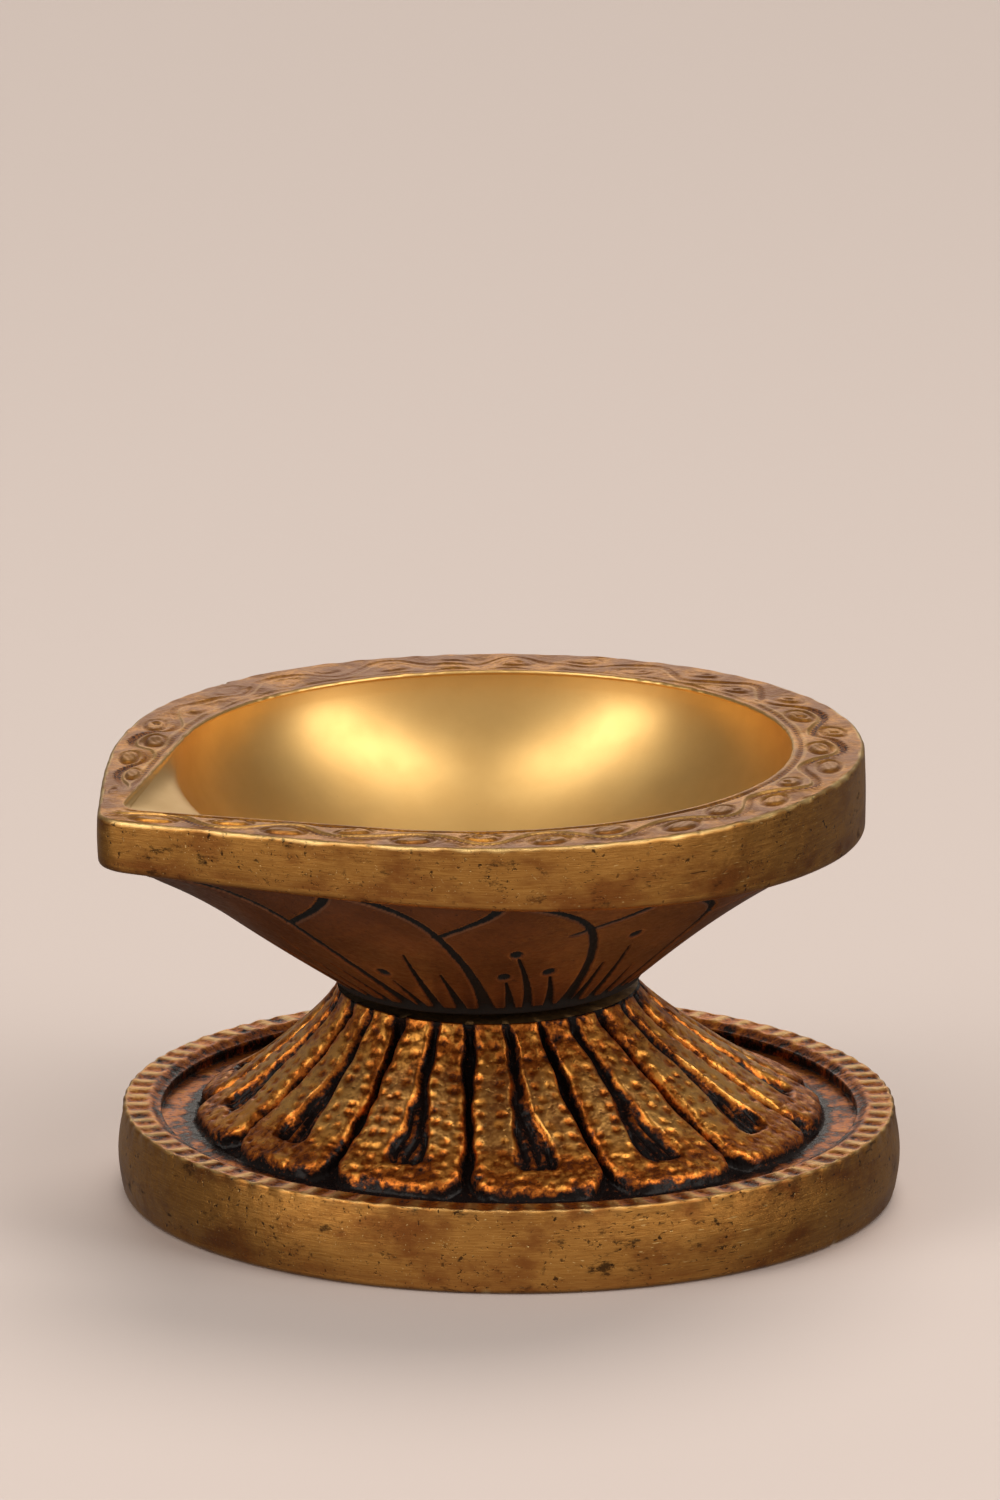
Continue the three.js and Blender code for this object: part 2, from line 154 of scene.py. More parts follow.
@dataclass
class Skin:
    """A closed skin over rows of points that each go once round."""

    rows: list[Array] = field(default_factory=list)
    marks: dict[str, list[Array]] = field(default_factory=dict)
    finish_of_row: list[int] = field(default_factory=list)

    def add(self, points: Array, finish: int = 0, **marks: Array) -> None:
        """Put one row on the skin.

        Args:
            points: The row's points, anticlockwise when seen from the last row's side.
            finish: The number of the finish that the faces above this row wear.
            **marks: Values per point, kept in the mesh under their own names.
        """
        for name in marks:
            self.marks.setdefault(name, [np.zeros(len(points))] * len(self.rows))
        self.rows.append(points)
        self.finish_of_row.append(finish)
        for name, values in self.marks.items():
            values.append(np.broadcast_to(marks.get(name, 0.0), len(points)))

    def build(self, name: str, ends: Ends) -> bpy.types.Object:
        """Make the mesh object.

        Args:
            name: The piece's name.
            ends: How the first and last rows are closed.

        Returns:
            The new object, linked to the scene.
        """
        count, rows = len(self.rows[0]), len(self.rows)
        points = np.concatenate(self.rows)
        index = np.arange(rows * count).reshape(rows, count)
        upper = index[1:] if ends is Ends.POINTS else np.roll(index, -1, axis=0)
        lower = index[: len(upper)]
        quads = np.stack(
            [lower, np.roll(lower, -1, 1), np.roll(upper, -1, 1), upper], axis=-1
        ).reshape(-1, 4)
        quad_finish = np.repeat(self.finish_of_row[: len(upper)], count)
        fans = np.zeros((0, 3), int)
        if ends is Ends.POINTS:
            poles = [self.rows[0].mean(0), self.rows[-1].mean(0)]
            points = np.concatenate([points, poles])
            first, last = index[0], index[-1]
            below = np.stack([np.roll(first, -1), first, np.full(count, rows * count)], 1)
            above = np.stack([last, np.roll(last, -1), np.full(count, rows * count + 1)], 1)
            fans = np.concatenate([below, above])
        fan_finish = np.repeat([self.finish_of_row[0], self.finish_of_row[-1]], len(fans) // 2)
        mesh = bpy.data.meshes.new(name)
        mesh.vertices.add(len(points))
        mesh.vertices.foreach_set("co", points.astype(np.float32).ravel())
        corners = np.concatenate([quads.ravel(), fans.ravel()])
        starts = np.concatenate(
            [np.arange(len(quads)) * 4, quads.size + np.arange(len(fans)) * 3]
        )
        mesh.loops.add(len(corners))
        mesh.loops.foreach_set("vertex_index", corners.astype(np.int32))
        mesh.polygons.add(len(starts))
        mesh.polygons.foreach_set("loop_start", starts.astype(np.int32))
        mesh.polygons.foreach_set(
            "material_index", np.concatenate([quad_finish, fan_finish]).astype(np.int32)
        )
        mesh.update(calc_edges=True)
        mesh.validate()
        mesh.shade_smooth()
        for mark, values in self.marks.items():
            flat = np.concatenate(values)
            flat = np.concatenate([flat, np.zeros(len(points) - len(flat))])
            kept = mesh.attributes.new(mark, "FLOAT", "POINT")
            kept.data.foreach_set("value", flat.astype(np.float32))
        piece = bpy.data.objects.new(name, mesh)
        bpy.context.scene.collection.objects.link(piece)
        return piece


@dataclass(frozen=True)
class Seat:
    """Where the bowl meets the pedestal: the screw's origin and its slightly leaning axis."""

    origin: Vector
    axis: Vector

    @classmethod
    def from_frame(cls) -> Seat:
        """Read the seat from the hinge that the bowl turns on."""
        turn = next(joint for joint in frame["joints"] if joint["name"] == "bowl_turn")
        return cls(Vector(turn["pos_m"]), Vector(turn["axis"]).normalized())

    def place(self, x: Array, y: Array, z: Array) -> Array:
        """Move points from the seat's own axes into the lamp's.

        Args:
            x: Distances from the screw's axis, away from the spout.
            y: Distances to the side.
            z: Heights above the seat.

        Returns:
            One row of points.
        """
        lean = self.axis.x
        rise = self.axis.z
        x, y, z = np.broadcast_arrays(x, y, z)
        return np.stack(
            [
                self.origin.x + x * rise + z * lean,
                self.origin.y + y,
                self.origin.z - x * lean + z * rise,
            ],
            axis=-1,
        )

    def ring(self, angle: Array, radius: Array | float, height: Array | float) -> Array:
        """One row of points round the screw's axis.

        Args:
            angle: The row's directions.
            radius: Distances from the axis.
            height: Heights above the seat.

        Returns:
            The points.
        """
        return self.place(radius * np.cos(angle), radius * np.sin(angle), height)


@dataclass(frozen=True)
class Thread:
    """The one right-hand screw thread that the stud, the bowl and the nut share."""

    radius: float = 4.0 * MM
    pitch: float = 1.25 * MM
    depth: float = 0.62 * MM
    clearance: float = 0.12 * MM
    rows_in_pitch: int = 6

    def outer(self, angle: Array, height: float) -> Array:
        """The stud's radius at a height, over all directions."""
        return self.radius - self.depth * self._fall(angle, height)

    def inner(self, angle: Array, height: float) -> Array:
        """A tapped hole's radius at a height, over all directions."""
        return self.outer(angle, height) + self.clearance

    def _fall(self, angle: Array, height: float) -> Array:
        """How deep the thread is cut, from 0 at its crest to 1 at its root.

        Args:
            angle: Directions in radians.
            height: The height above the seat.

        Returns:
            The depth as a share.
        """
        phase = height / self.pitch - angle / TURN
        from_crest = np.abs(phase - np.round(phase)) * 2
        return smooth(from_crest, 0.2, 0.85)

    def heights(self, low: float, high: float) -> Array:
        """Row heights close enough together to draw the thread."""
        return np.linspace(low, high, round((high - low) / self.pitch * self.rows_in_pitch) + 1)


# ---- Finishes -----------------------------------------------------------------------------------


class Shader:
    """Puts one finish together from nodes."""

    def __init__(self, name: str) -> None:
        """Start an empty material.

        Args:
            name: The finish's name.
        """
        self.material = bpy.data.materials.new(name)
        self.material.use_nodes = True
        self.tree = self.material.node_tree
        self.surface = self.tree.nodes["Principled BSDF"]
        self.place = self.node("ShaderNodeTexCoord").outputs["Object"]

    def node(self, kind: str, inputs: dict | None = None, **settings: object) -> bpy.types.Node:
        """Add a node.

        Args:
            kind: The node's type.
            inputs: What goes into each input: a plain value or another node's output.
            **settings: The node's own settings.

        Returns:
            The node.
        """
        made = self.tree.nodes.new(kind)
        for key, value in settings.items():
            setattr(made, key, value)
        for key, value in (inputs or {}).items():
            self.feed(made.inputs[key], value)
        return made

    def feed(self, socket: bpy.types.NodeSocket, value: object) -> None:
        """Give an input a plain value or another node's output.

        Args:
            socket: The input.
            value: A number, a colour, a vector or another node's output.
        """
        if isinstance(value, bpy.types.NodeSocket):
            self.tree.links.new(value, socket)
        elif isinstance(value, tuple) and len(value) == 3 and socket.type == "RGBA":
            socket.default_value = (*value, 1.0)
        else:
            socket.default_value = value

    def set(self, **inputs: object) -> None:
        """Feed the surface's inputs, named with underscores for blanks."""
        for key, value in inputs.items():
            self.feed(self.surface.inputs[key.replace("_", " ")], value)

    def mark(self, name: str) -> bpy.types.NodeSocket:
        """The values that the mesh keeps under a name."""
        return self.node("ShaderNodeAttribute", attribute_name=name).outputs["Fac"]

    def noise(
        self,
        size: float,
        stretch: tuple[float, float, float] = (1, 1, 1),
        detail: float = 3,
        roughness: float = 0.55,
        turn: tuple[float, float, float] = (0, 0, 0),
    ) -> bpy.types.NodeSocket:
        """Cloudy values from 0 to 1.

        Args:
            size: How wide one cloud is, in metres.
            stretch: How much narrower the clouds are along each axis.
            detail: How many finer layers are added.
            roughness: How strong those layers are.
            turn: Degrees that the stretched clouds are turned about each axis.

        Returns:
            The values.
        """
        vector = self.place
        if stretch != (1, 1, 1) or turn != (0, 0, 0):
            vector = self.node(
                "ShaderNodeMapping",
                {
                    "Vector": vector,
                    "Rotation": tuple(math.radians(part) for part in turn),
                    "Scale": stretch,
                },
            ).outputs["Vector"]
        return self.node(
            "ShaderNodeTexNoise",
            {"Vector": vector, "Scale": 1 / size, "Detail": detail, "Roughness": roughness},
        ).outputs["Fac"]

    def band(
        self, value: bpy.types.NodeSocket, low: float, high: float, start: float = 0, end: float = 1
    ) -> bpy.types.NodeSocket:
        """Ease from start where value is low to end where it is high.

        Args:
            value: What is compared with low and high.
            low: Where the result leaves start. It may be above high.
            high: Where the result reaches end.
            start: The result before low.
            end: The result after high.

        Returns:
            The eased values.
        """
        return self.node(
            "ShaderNodeMapRange",
            {"Value": value, "From Min": low, "From Max": high, "To Min": start, "To Max": end},
            interpolation_type="SMOOTHSTEP",
        ).outputs["Result"]

    def math(self, how: str, first: object, second: object = 0.5) -> bpy.types.NodeSocket:
        """One sum on two values.

        Args:
            how: The sum's name.
            first: The first value.
            second: The second value.

        Returns:
            The result.
        """
        made = self.node("ShaderNodeMath", operation=how)
        self.feed(made.inputs[0], first)
        self.feed(made.inputs[1], second)
        return made.outputs[0]

    def mix(self, share: object, under: object, over: object) -> bpy.types.NodeSocket:
        """Lay one colour over another.

        Args:
            share: How much of the upper colour shows.
            under: The lower colour.
            over: The upper colour.

        Returns:
            The mixed colour.
        """
        made = self.node("ShaderNodeMix", data_type="RGBA")
        self.feed(made.inputs["Factor"], share)
        self.feed(made.inputs[6], under)
        self.feed(made.inputs[7], over)
        return made.outputs[2]

    def bump(
        self, height: bpy.types.NodeSocket, depth: float, under: bpy.types.NodeSocket | None = None
    ) -> bpy.types.NodeSocket:
        """Raise the surface a little.

        Args:
            height: The share of the full height at each place.
            depth: The full height in metres.
            under: The result of an earlier bump that this one is added to.

        Returns:
            The bumped normal.
        """
        made = self.node("ShaderNodeBump", {"Height": height, "Distance": depth, "Strength": 1.0})
        if under is not None:
            self.feed(made.inputs["Normal"], under)
        return made.outputs["Normal"]


@dataclass(frozen=True)
class PolishedBrass:
    """The bowl's inside: turned and polished, with faint turning marks and a few spots."""

    bright: Colour = (0.80, 0.53, 0.20)
    warm: Colour = (0.64, 0.385, 0.125)
    spot: Colour = (0.16, 0.07, 0.02)
    roughness: float = 0.40

    def material(self) -> bpy.types.Material:
        """Build the finish.

        Returns:
            The material.
        """
        shader = Shader("polished_brass")
        clouds = shader.noise(22 * MM, detail=4)
        haze = shader.noise(4 * MM, detail=5, roughness=0.65)
        colour = shader.mix(shader.band(clouds, 0.3, 0.75, 0, 0.7), self.bright, self.warm)
        colour = shader.mix(shader.band(haze, 0.4, 0.85, 0, 0.3), colour, self.warm)
        spots = shader.band(shader.noise(1.1 * MM, detail=2), 0.76, 0.82)
        colour = shader.mix(shader.math("MULTIPLY", spots, 0.6), colour, self.spot)
        lines = shader.noise(1.5 * MM, (1, 1, 9), detail=5, roughness=0.7)
        rough = shader.band(haze, 0.1, 0.9, self.roughness - 0.02, self.roughness + 0.05)
        normal = shader.bump(lines, 0.006 * MM)
        normal = shader.bump(shader.noise(11 * MM, detail=1), 0.15 * MM, normal)
        round_and_round = shader.node("ShaderNodeTangent", direction_type="RADIAL", axis="Z")
        shader.set(Base_Color=colour, Metallic=1.0, Roughness=rough, Normal=normal)
        shader.set(
            Anisotropic=0.45,
            Anisotropic_Rotation=0.25,
            Tangent=round_and_round.outputs["Tangent"],
        )
        return shader.material


@dataclass(frozen=True)
class BrushedBrass:
    """The rim's and the foot's upright bands: drawn with an abrasive, handled and spotted."""

    base: Colour = (0.38, 0.160, 0.035)
    bright: Colour = (0.56, 0.275, 0.070)
    brown: Colour = (0.23, 0.072, 0.019)
    black: Colour = (0.035, 0.018, 0.010)
    edge: Colour = (0.95, 0.70, 0.30)
    roughness: float = 0.36

    def material(self) -> bpy.types.Material:
        """Build the finish.

        Returns:
            The material.
        """
        shader = Shader("brushed_brass")
        lines = shader.noise(3.2 * MM, (1, 1, 22), detail=7, roughness=0.78)
        clouds = shader.noise(9 * MM, (1, 1, 1.8), detail=5, roughness=0.6)
        colour = shader.mix(shader.band(lines, 0.34, 0.66), self.base, self.bright)
        colour = shader.mix(shader.band(clouds, 0.44, 0.68, 0, 0.85), colour, self.brown)
        smudge = shader.noise(5 * MM, (1, 1, 2.2), detail=7, roughness=0.75)
        smudges = shader.band(smudge, 0.57, 0.67, 0, 0.85)
        colour = shader.mix(smudges, colour, self.black)
        specks = shader.band(shader.noise(0.75 * MM, detail=4), 0.61, 0.69, 0, 0.9)
        patches = shader.band(shader.noise(6 * MM, detail=3), 0.42, 0.56)
        specks = shader.math("MULTIPLY", specks, patches)
        colour = shader.mix(specks, colour, self.black)
        cuts, scratches = self._scratches(shader)
        colour = shader.mix(shader.math("MULTIPLY", scratches, 0.65), colour, self.edge)
        colour = shader.mix(shader.math("MULTIPLY", cuts, 0.8), colour, self.black)
        # Darker towards the bottom of each band and on its lower rounded edge.
        stain = shader.mark("stain")
        colour = shader.mix(stain, colour, self.brown)
        # Worn nicks on the foot's lower edge, and a painted highlight along the bands' rounded top
        # edges.
        worn = shader.mark("worn")
        colour = shader.mix(worn, colour, self.edge)
        rough = shader.band(lines, 0.25, 0.8, self.roughness - 0.07, self.roughness + 0.12)
        rough = shader.math("ADD", rough, shader.math("MULTIPLY", smudges, 0.2))
        normal = shader.bump(lines, 0.05 * MM)
        normal = shader.bump(shader.noise(5 * MM, detail=3), 0.3 * MM, normal)
        normal = shader.bump(shader.math("ADD", cuts, specks), -0.08 * MM, normal)
        shader.set(Base_Color=colour, Metallic=1.0, Roughness=rough, Normal=normal)
        return shader.material

    def _scratches(
        self, shader: Shader
    ) -> tuple[bpy.types.NodeSocket, bpy.types.NodeSocket]:
        """Long dark cuts and fine bright scratches, each on a few slants.

        Args:
            shader: The finish that they go into.

        Returns:
            Where the cuts are, and where the scratches are.
        """
        cuts, scratches = None, None
        for turn in ((35, 10, 20), (-50, 25, -35), (80, -15, 60)):
            where = shader.noise(4 * MM, turn=turn)
            line = shader.noise(4.5 * MM, (1, 16, 16), detail=2, turn=turn)
            cut = shader.math(
                "MULTIPLY", shader.band(line, 0.665, 0.72), shader.band(where, 0.47, 0.57)
            )
            scratch = shader.math(
                "MULTIPLY", shader.band(line, 0.31, 0.26), shader.band(where, 0.53, 0.43)
            )
            cuts = cut if cuts is None else shader.math("MAXIMUM", cuts, cut)
            scratches = (
                scratch if scratches is None else shader.math("MAXIMUM", scratches, scratch)
            )
        return cuts, scratches


@dataclass(frozen=True)
class EngravedBrass:
    """The rim's flat top: gold, with a mauve bloom in the punched lines."""

    base: Colour = (0.50, 0.185, 0.030)
    bright: Colour = (0.84, 0.40, 0.070)
    brown: Colour = (0.29, 0.105, 0.028)
    bloom: Colour = (0.33, 0.13, 0.045)
    black: Colour = (0.045, 0.030, 0.034)
    edge: Colour = (0.92, 0.59, 0.22)
    roughness: float = 0.36

    def material(self) -> bpy.types.Material:
        """Build the finish.

        Returns:
            The material.
        """
        shader = Shader("engraved_brass")
        clouds = shader.noise(5 * MM, detail=4)
        fine = shader.noise(0.7 * MM, detail=4, roughness=0.7)
        colour = shader.mix(shader.band(fine, 0.3, 0.75), self.base, self.bright)
        colour = shader.mix(shader.band(clouds, 0.36, 0.62, 0, 0.85), colour, self.brown)
        ink = shader.mark("cut")
        stipple = shader.noise(0.28 * MM, detail=2)
        line = shader.mix(shader.band(stipple, 0.42, 0.6), self.bloom, self.black)
        colour = shader.mix(shader.band(ink, 0.25, 0.8), colour, line)
        # Painted highlights beside the engraved lines and along the rim's outer edge; the raised
        # leaves and the opening's edge a little lighter.
        colour = shader.mix(shader.mark("worn"), colour, self.edge)
        rough = shader.band(ink, 0.1, 0.8, self.roughness, 0.55)
        metal = shader.band(ink, 0.3, 0.9, 1.0, 0.8)
        normal = shader.bump(fine, 0.06 * MM)
        normal = shader.bump(clouds, 0.35 * MM, normal)
        stippled = shader.math("MULTIPLY", stipple, ink)
        normal = shader.bump(stippled, 0.12 * MM, normal)
        shader.set(Base_Color=colour, Metallic=metal, Roughness=rough, Normal=normal)
        return shader.material


@dataclass(frozen=True)
class BrownPatina:
    """The bowl's cone: chocolate-brown patina, black in the graver's lines, with painted shade
    under the rim and at the joint and a painted highlight along the cuts' lips.
    """

    base: Colour = (0.105, 0.034, 0.012)
    light: Colour = (0.16, 0.055, 0.020)
    dark: Colour = (0.055, 0.018, 0.008)
    black: Colour = (0.006, 0.004, 0.003)
    glint: Colour = (0.34, 0.14, 0.05)
    roughness: float = 0.42

    def material(self) -> bpy.types.Material:
        """Build the finish.

        Returns:
            The material.
        """
        shader = Shader("brown_patina")
        clouds = shader.noise(8 * MM, detail=5, roughness=0.6)
        fine = shader.noise(0.9 * MM, detail=4, roughness=0.7)
        colour = shader.mix(shader.band(clouds, 0.35, 0.7), self.base, self.light)
        colour = shader.mix(shader.band(fine, 0.5, 0.8, 0, 0.6), colour, self.dark)
        pits = shader.band(shader.noise(0.6 * MM, detail=2), 0.7, 0.76, 0, 0.8)
        colour = shader.mix(pits, colour, self.black)
        # A painted highlight along the lips of the engraved cuts.
        colour = shader.mix(shader.mark("worn"), colour, self.glint)
        # Black in the graver's lines, and painted shade at the cone's top under the band and at the
        # joint.
        cut = shader.mark("cut")
        ragged = shader.math("ADD", cut, shader.band(fine, 0.2, 0.8, -0.12, 0.12))
        black = shader.band(ragged, 0.16, 0.42)
        colour = shader.mix(black, colour, self.black)
        rough = shader.band(fine, 0.2, 0.8, self.roughness - 0.06, self.roughness + 0.12)
        rough = shader.math("ADD", rough, shader.math("MULTIPLY", black, 0.4))
        metal = shader.band(black, 0, 1, 0.55, 0.05)
        normal = shader.bump(fine, 0.05 * MM)
        normal = shader.bump(clouds, 0.4 * MM, normal)
        normal = shader.bump(pits, -0.08 * MM, normal)
        shader.set(Base_Color=colour, Metallic=metal, Roughness=rough, Normal=normal)
        return shader.material


@dataclass(frozen=True)
class ChasedBrass:
    """The lotus and the channel: gold on the high metal, orange-brown lower, black in the cuts."""

    gold: Colour = (0.92, 0.42, 0.085)
    orange: Colour = (0.62, 0.185, 0.030)
    brown: Colour = (0.17, 0.044, 0.012)
    black: Colour = (0.010, 0.007, 0.007)
    edge: Colour = (0.95, 0.66, 0.25)
    specular: float = 0.12
    roughness: float = 0.35

    def material(self) -> bpy.types.Material:
        """Build the finish.

        Returns:
            The material.
        """
        shader = Shader("chased_brass")
        fine = shader.noise(0.75 * MM, detail=5, roughness=0.72)
        clouds = shader.noise(2.6 * MM, detail=3, roughness=0.5)
        height = shader.mark("height")
        uneven = shader.math("ADD", height, shader.band(clouds, 0.25, 0.75, -0.30, 0.24))
        ragged = shader.math("ADD", uneven, shader.band(fine, 0.3, 0.7, -0.26, 0.16))
        colour = shader.mix(shader.band(ragged, 0.28, 0.5), self.black, self.brown)
        colour = shader.mix(shader.band(ragged, 0.46, 0.68), colour, self.orange)
        colour = shader.mix(shader.band(ragged, 0.72, 0.98), colour, self.gold)
        specks = shader.band(shader.noise(0.5 * MM, detail=3), 0.62, 0.7, 0, 0.7)
        colour = shader.mix(specks, colour, self.brown)
        # Rubbed high metal, and a painted highlight along the foot's rounded top edge.
        colour = shader.mix(shader.mark("worn"), colour, self.edge)
        black = shader.band(ragged, 0.42, 0.24)
        rough = shader.band(fine, 0.2, 0.85, self.roughness - 0.08, self.roughness + 0.16)
        rough = shader.math("SUBTRACT", rough, shader.math("MULTIPLY", black, 0.12))
        metal = shader.band(ragged, 0.3, 0.62, 0.1, 1.0)
        normal = shader.bump(fine, 0.05 * MM)
        normal = shader.bump(clouds, 0.35 * MM, normal)
        normal = shader.bump(specks, -0.05 * MM, normal)
        shader.set(Base_Color=colour, Metallic=metal, Roughness=rough, Normal=normal)
        shader.set(Specular_IOR_Level=self.specular)
        return shader.material


@dataclass(frozen=True)
class RawBrass:
    """Unpolished casting skin and turned faces that nobody sees: inside the foot and the screw."""

    base: Colour = (0.30, 0.17, 0.06)
    dull: Colour = (0.13, 0.075, 0.035)
    green: Colour = (0.07, 0.10, 0.06)
    roughness: float = 0.55

    def material(self) -> bpy.types.Material:
        """Build the finish.

        Returns:
            The material.
        """
        shader = Shader("raw_brass")
        sand = shader.noise(0.9 * MM, detail=5, roughness=0.7)
        clouds = shader.noise(11 * MM, detail=4)
        colour = shader.mix(shader.band(sand, 0.3, 0.7), self.base, self.dull)
        colour = shader.mix(shader.band(clouds, 0.55, 0.8, 0, 0.5), colour, self.green)
        rough = shader.band(clouds, 0.3, 0.7, self.roughness - 0.1, self.roughness + 0.15)
        normal = shader.bump(sand, 0.16 * MM)
        shader.set(Base_Color=colour, Metallic=0.85, Roughness=rough, Normal=normal)
        return shader.material


@dataclass(frozen=True)
class Steel:
    """Plated or oiled steel of the stud, the washers and the nut."""

    name: str
    base: Colour
    stain: Colour
    roughness: float

    def material(self) -> bpy.types.Material:
        """Build the finish.

        Returns:
            The material.
        """
        shader = Shader(self.name)
        fine = shader.noise(0.5 * MM, detail=4, roughness=0.7)
        clouds = shader.noise(3 * MM, detail=4)
        lines = shader.noise(1.2 * MM, (1, 1, 12), detail=3)
        colour = shader.mix(shader.band(clouds, 0.45, 0.75, 0, 0.8), self.base, self.stain)
        colour = shader.mix(shader.band(fine, 0.62, 0.78, 0, 0.5), colour, self.stain)
        rough = shader.band(clouds, 0.3, 0.7, self.roughness - 0.06, self.roughness + 0.14)
        normal = shader.bump(lines, 0.02 * MM)
        normal = shader.bump(fine, 0.03 * MM, normal)
        shader.set(Base_Color=colour, Metallic=1.0, Roughness=rough, Normal=normal)
        return shader.material


@dataclass(frozen=True)
class OiledFibre:
    """The thin washer under the bowl: black, oil-soaked vulcanised fibre."""

    base: Colour = (0.022, 0.014, 0.010)
    dry: Colour = (0.055, 0.036, 0.024)
    roughness: float = 0.6

    def material(self) -> bpy.types.Material:
        """Build the finish.

        Returns:
            The material.
        """
        shader = Shader("oiled_fibre")
        felt = shader.noise(0.4 * MM, (1, 1, 3), detail=5, roughness=0.75)
        clouds = shader.noise(4 * MM, detail=3)
        colour = shader.mix(shader.band(felt, 0.4, 0.75), self.base, self.dry)
        rough = shader.band(clouds, 0.3, 0.7, self.roughness - 0.15, self.roughness + 0.2)
        shader.set(
            Base_Color=colour,
            Metallic=0.0,
            Roughness=rough,
            Normal=shader.bump(felt, 0.05 * MM),
        )
        return shader.material


STUD_STEEL = Steel("stud_steel", (0.42, 0.42, 0.43), (0.20, 0.18, 0.16), 0.34)
WASHER_STEEL = Steel("washer_steel", (0.55, 0.55, 0.54), (0.34, 0.32, 0.28), 0.30)
SPRING_STEEL = Steel("spring_steel", (0.16, 0.16, 0.165), (0.09, 0.07, 0.055), 0.38)
NUT_STEEL = Steel("nut_steel", (0.50, 0.50, 0.49), (0.30, 0.27, 0.22), 0.32)


def dress(piece: bpy.types.Object, body: str, node: str, finishes: list) -> None:
    """Give a piece its finishes and fix it to the frame.

    Args:
        piece: The new piece.
        body: The body that it rides on.
        node: The node that it stands for.
        finishes: The piece's finishes, in the order that its faces count them.
    """
    for finish in finishes:
        piece.data.materials.append(finish.material())
    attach(piece, body)
    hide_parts(node)
    LOG.info("%s: %d faces on %s", piece.name, len(piece.data.polygons), body)


# ---- The pedestal -------------------------------------------------------------------------------


class PedestalFinish(Enum):
    """Which finish each stretch of the pedestal wears."""

    RAW = 0
    BAND = 1
    CHASED = 2


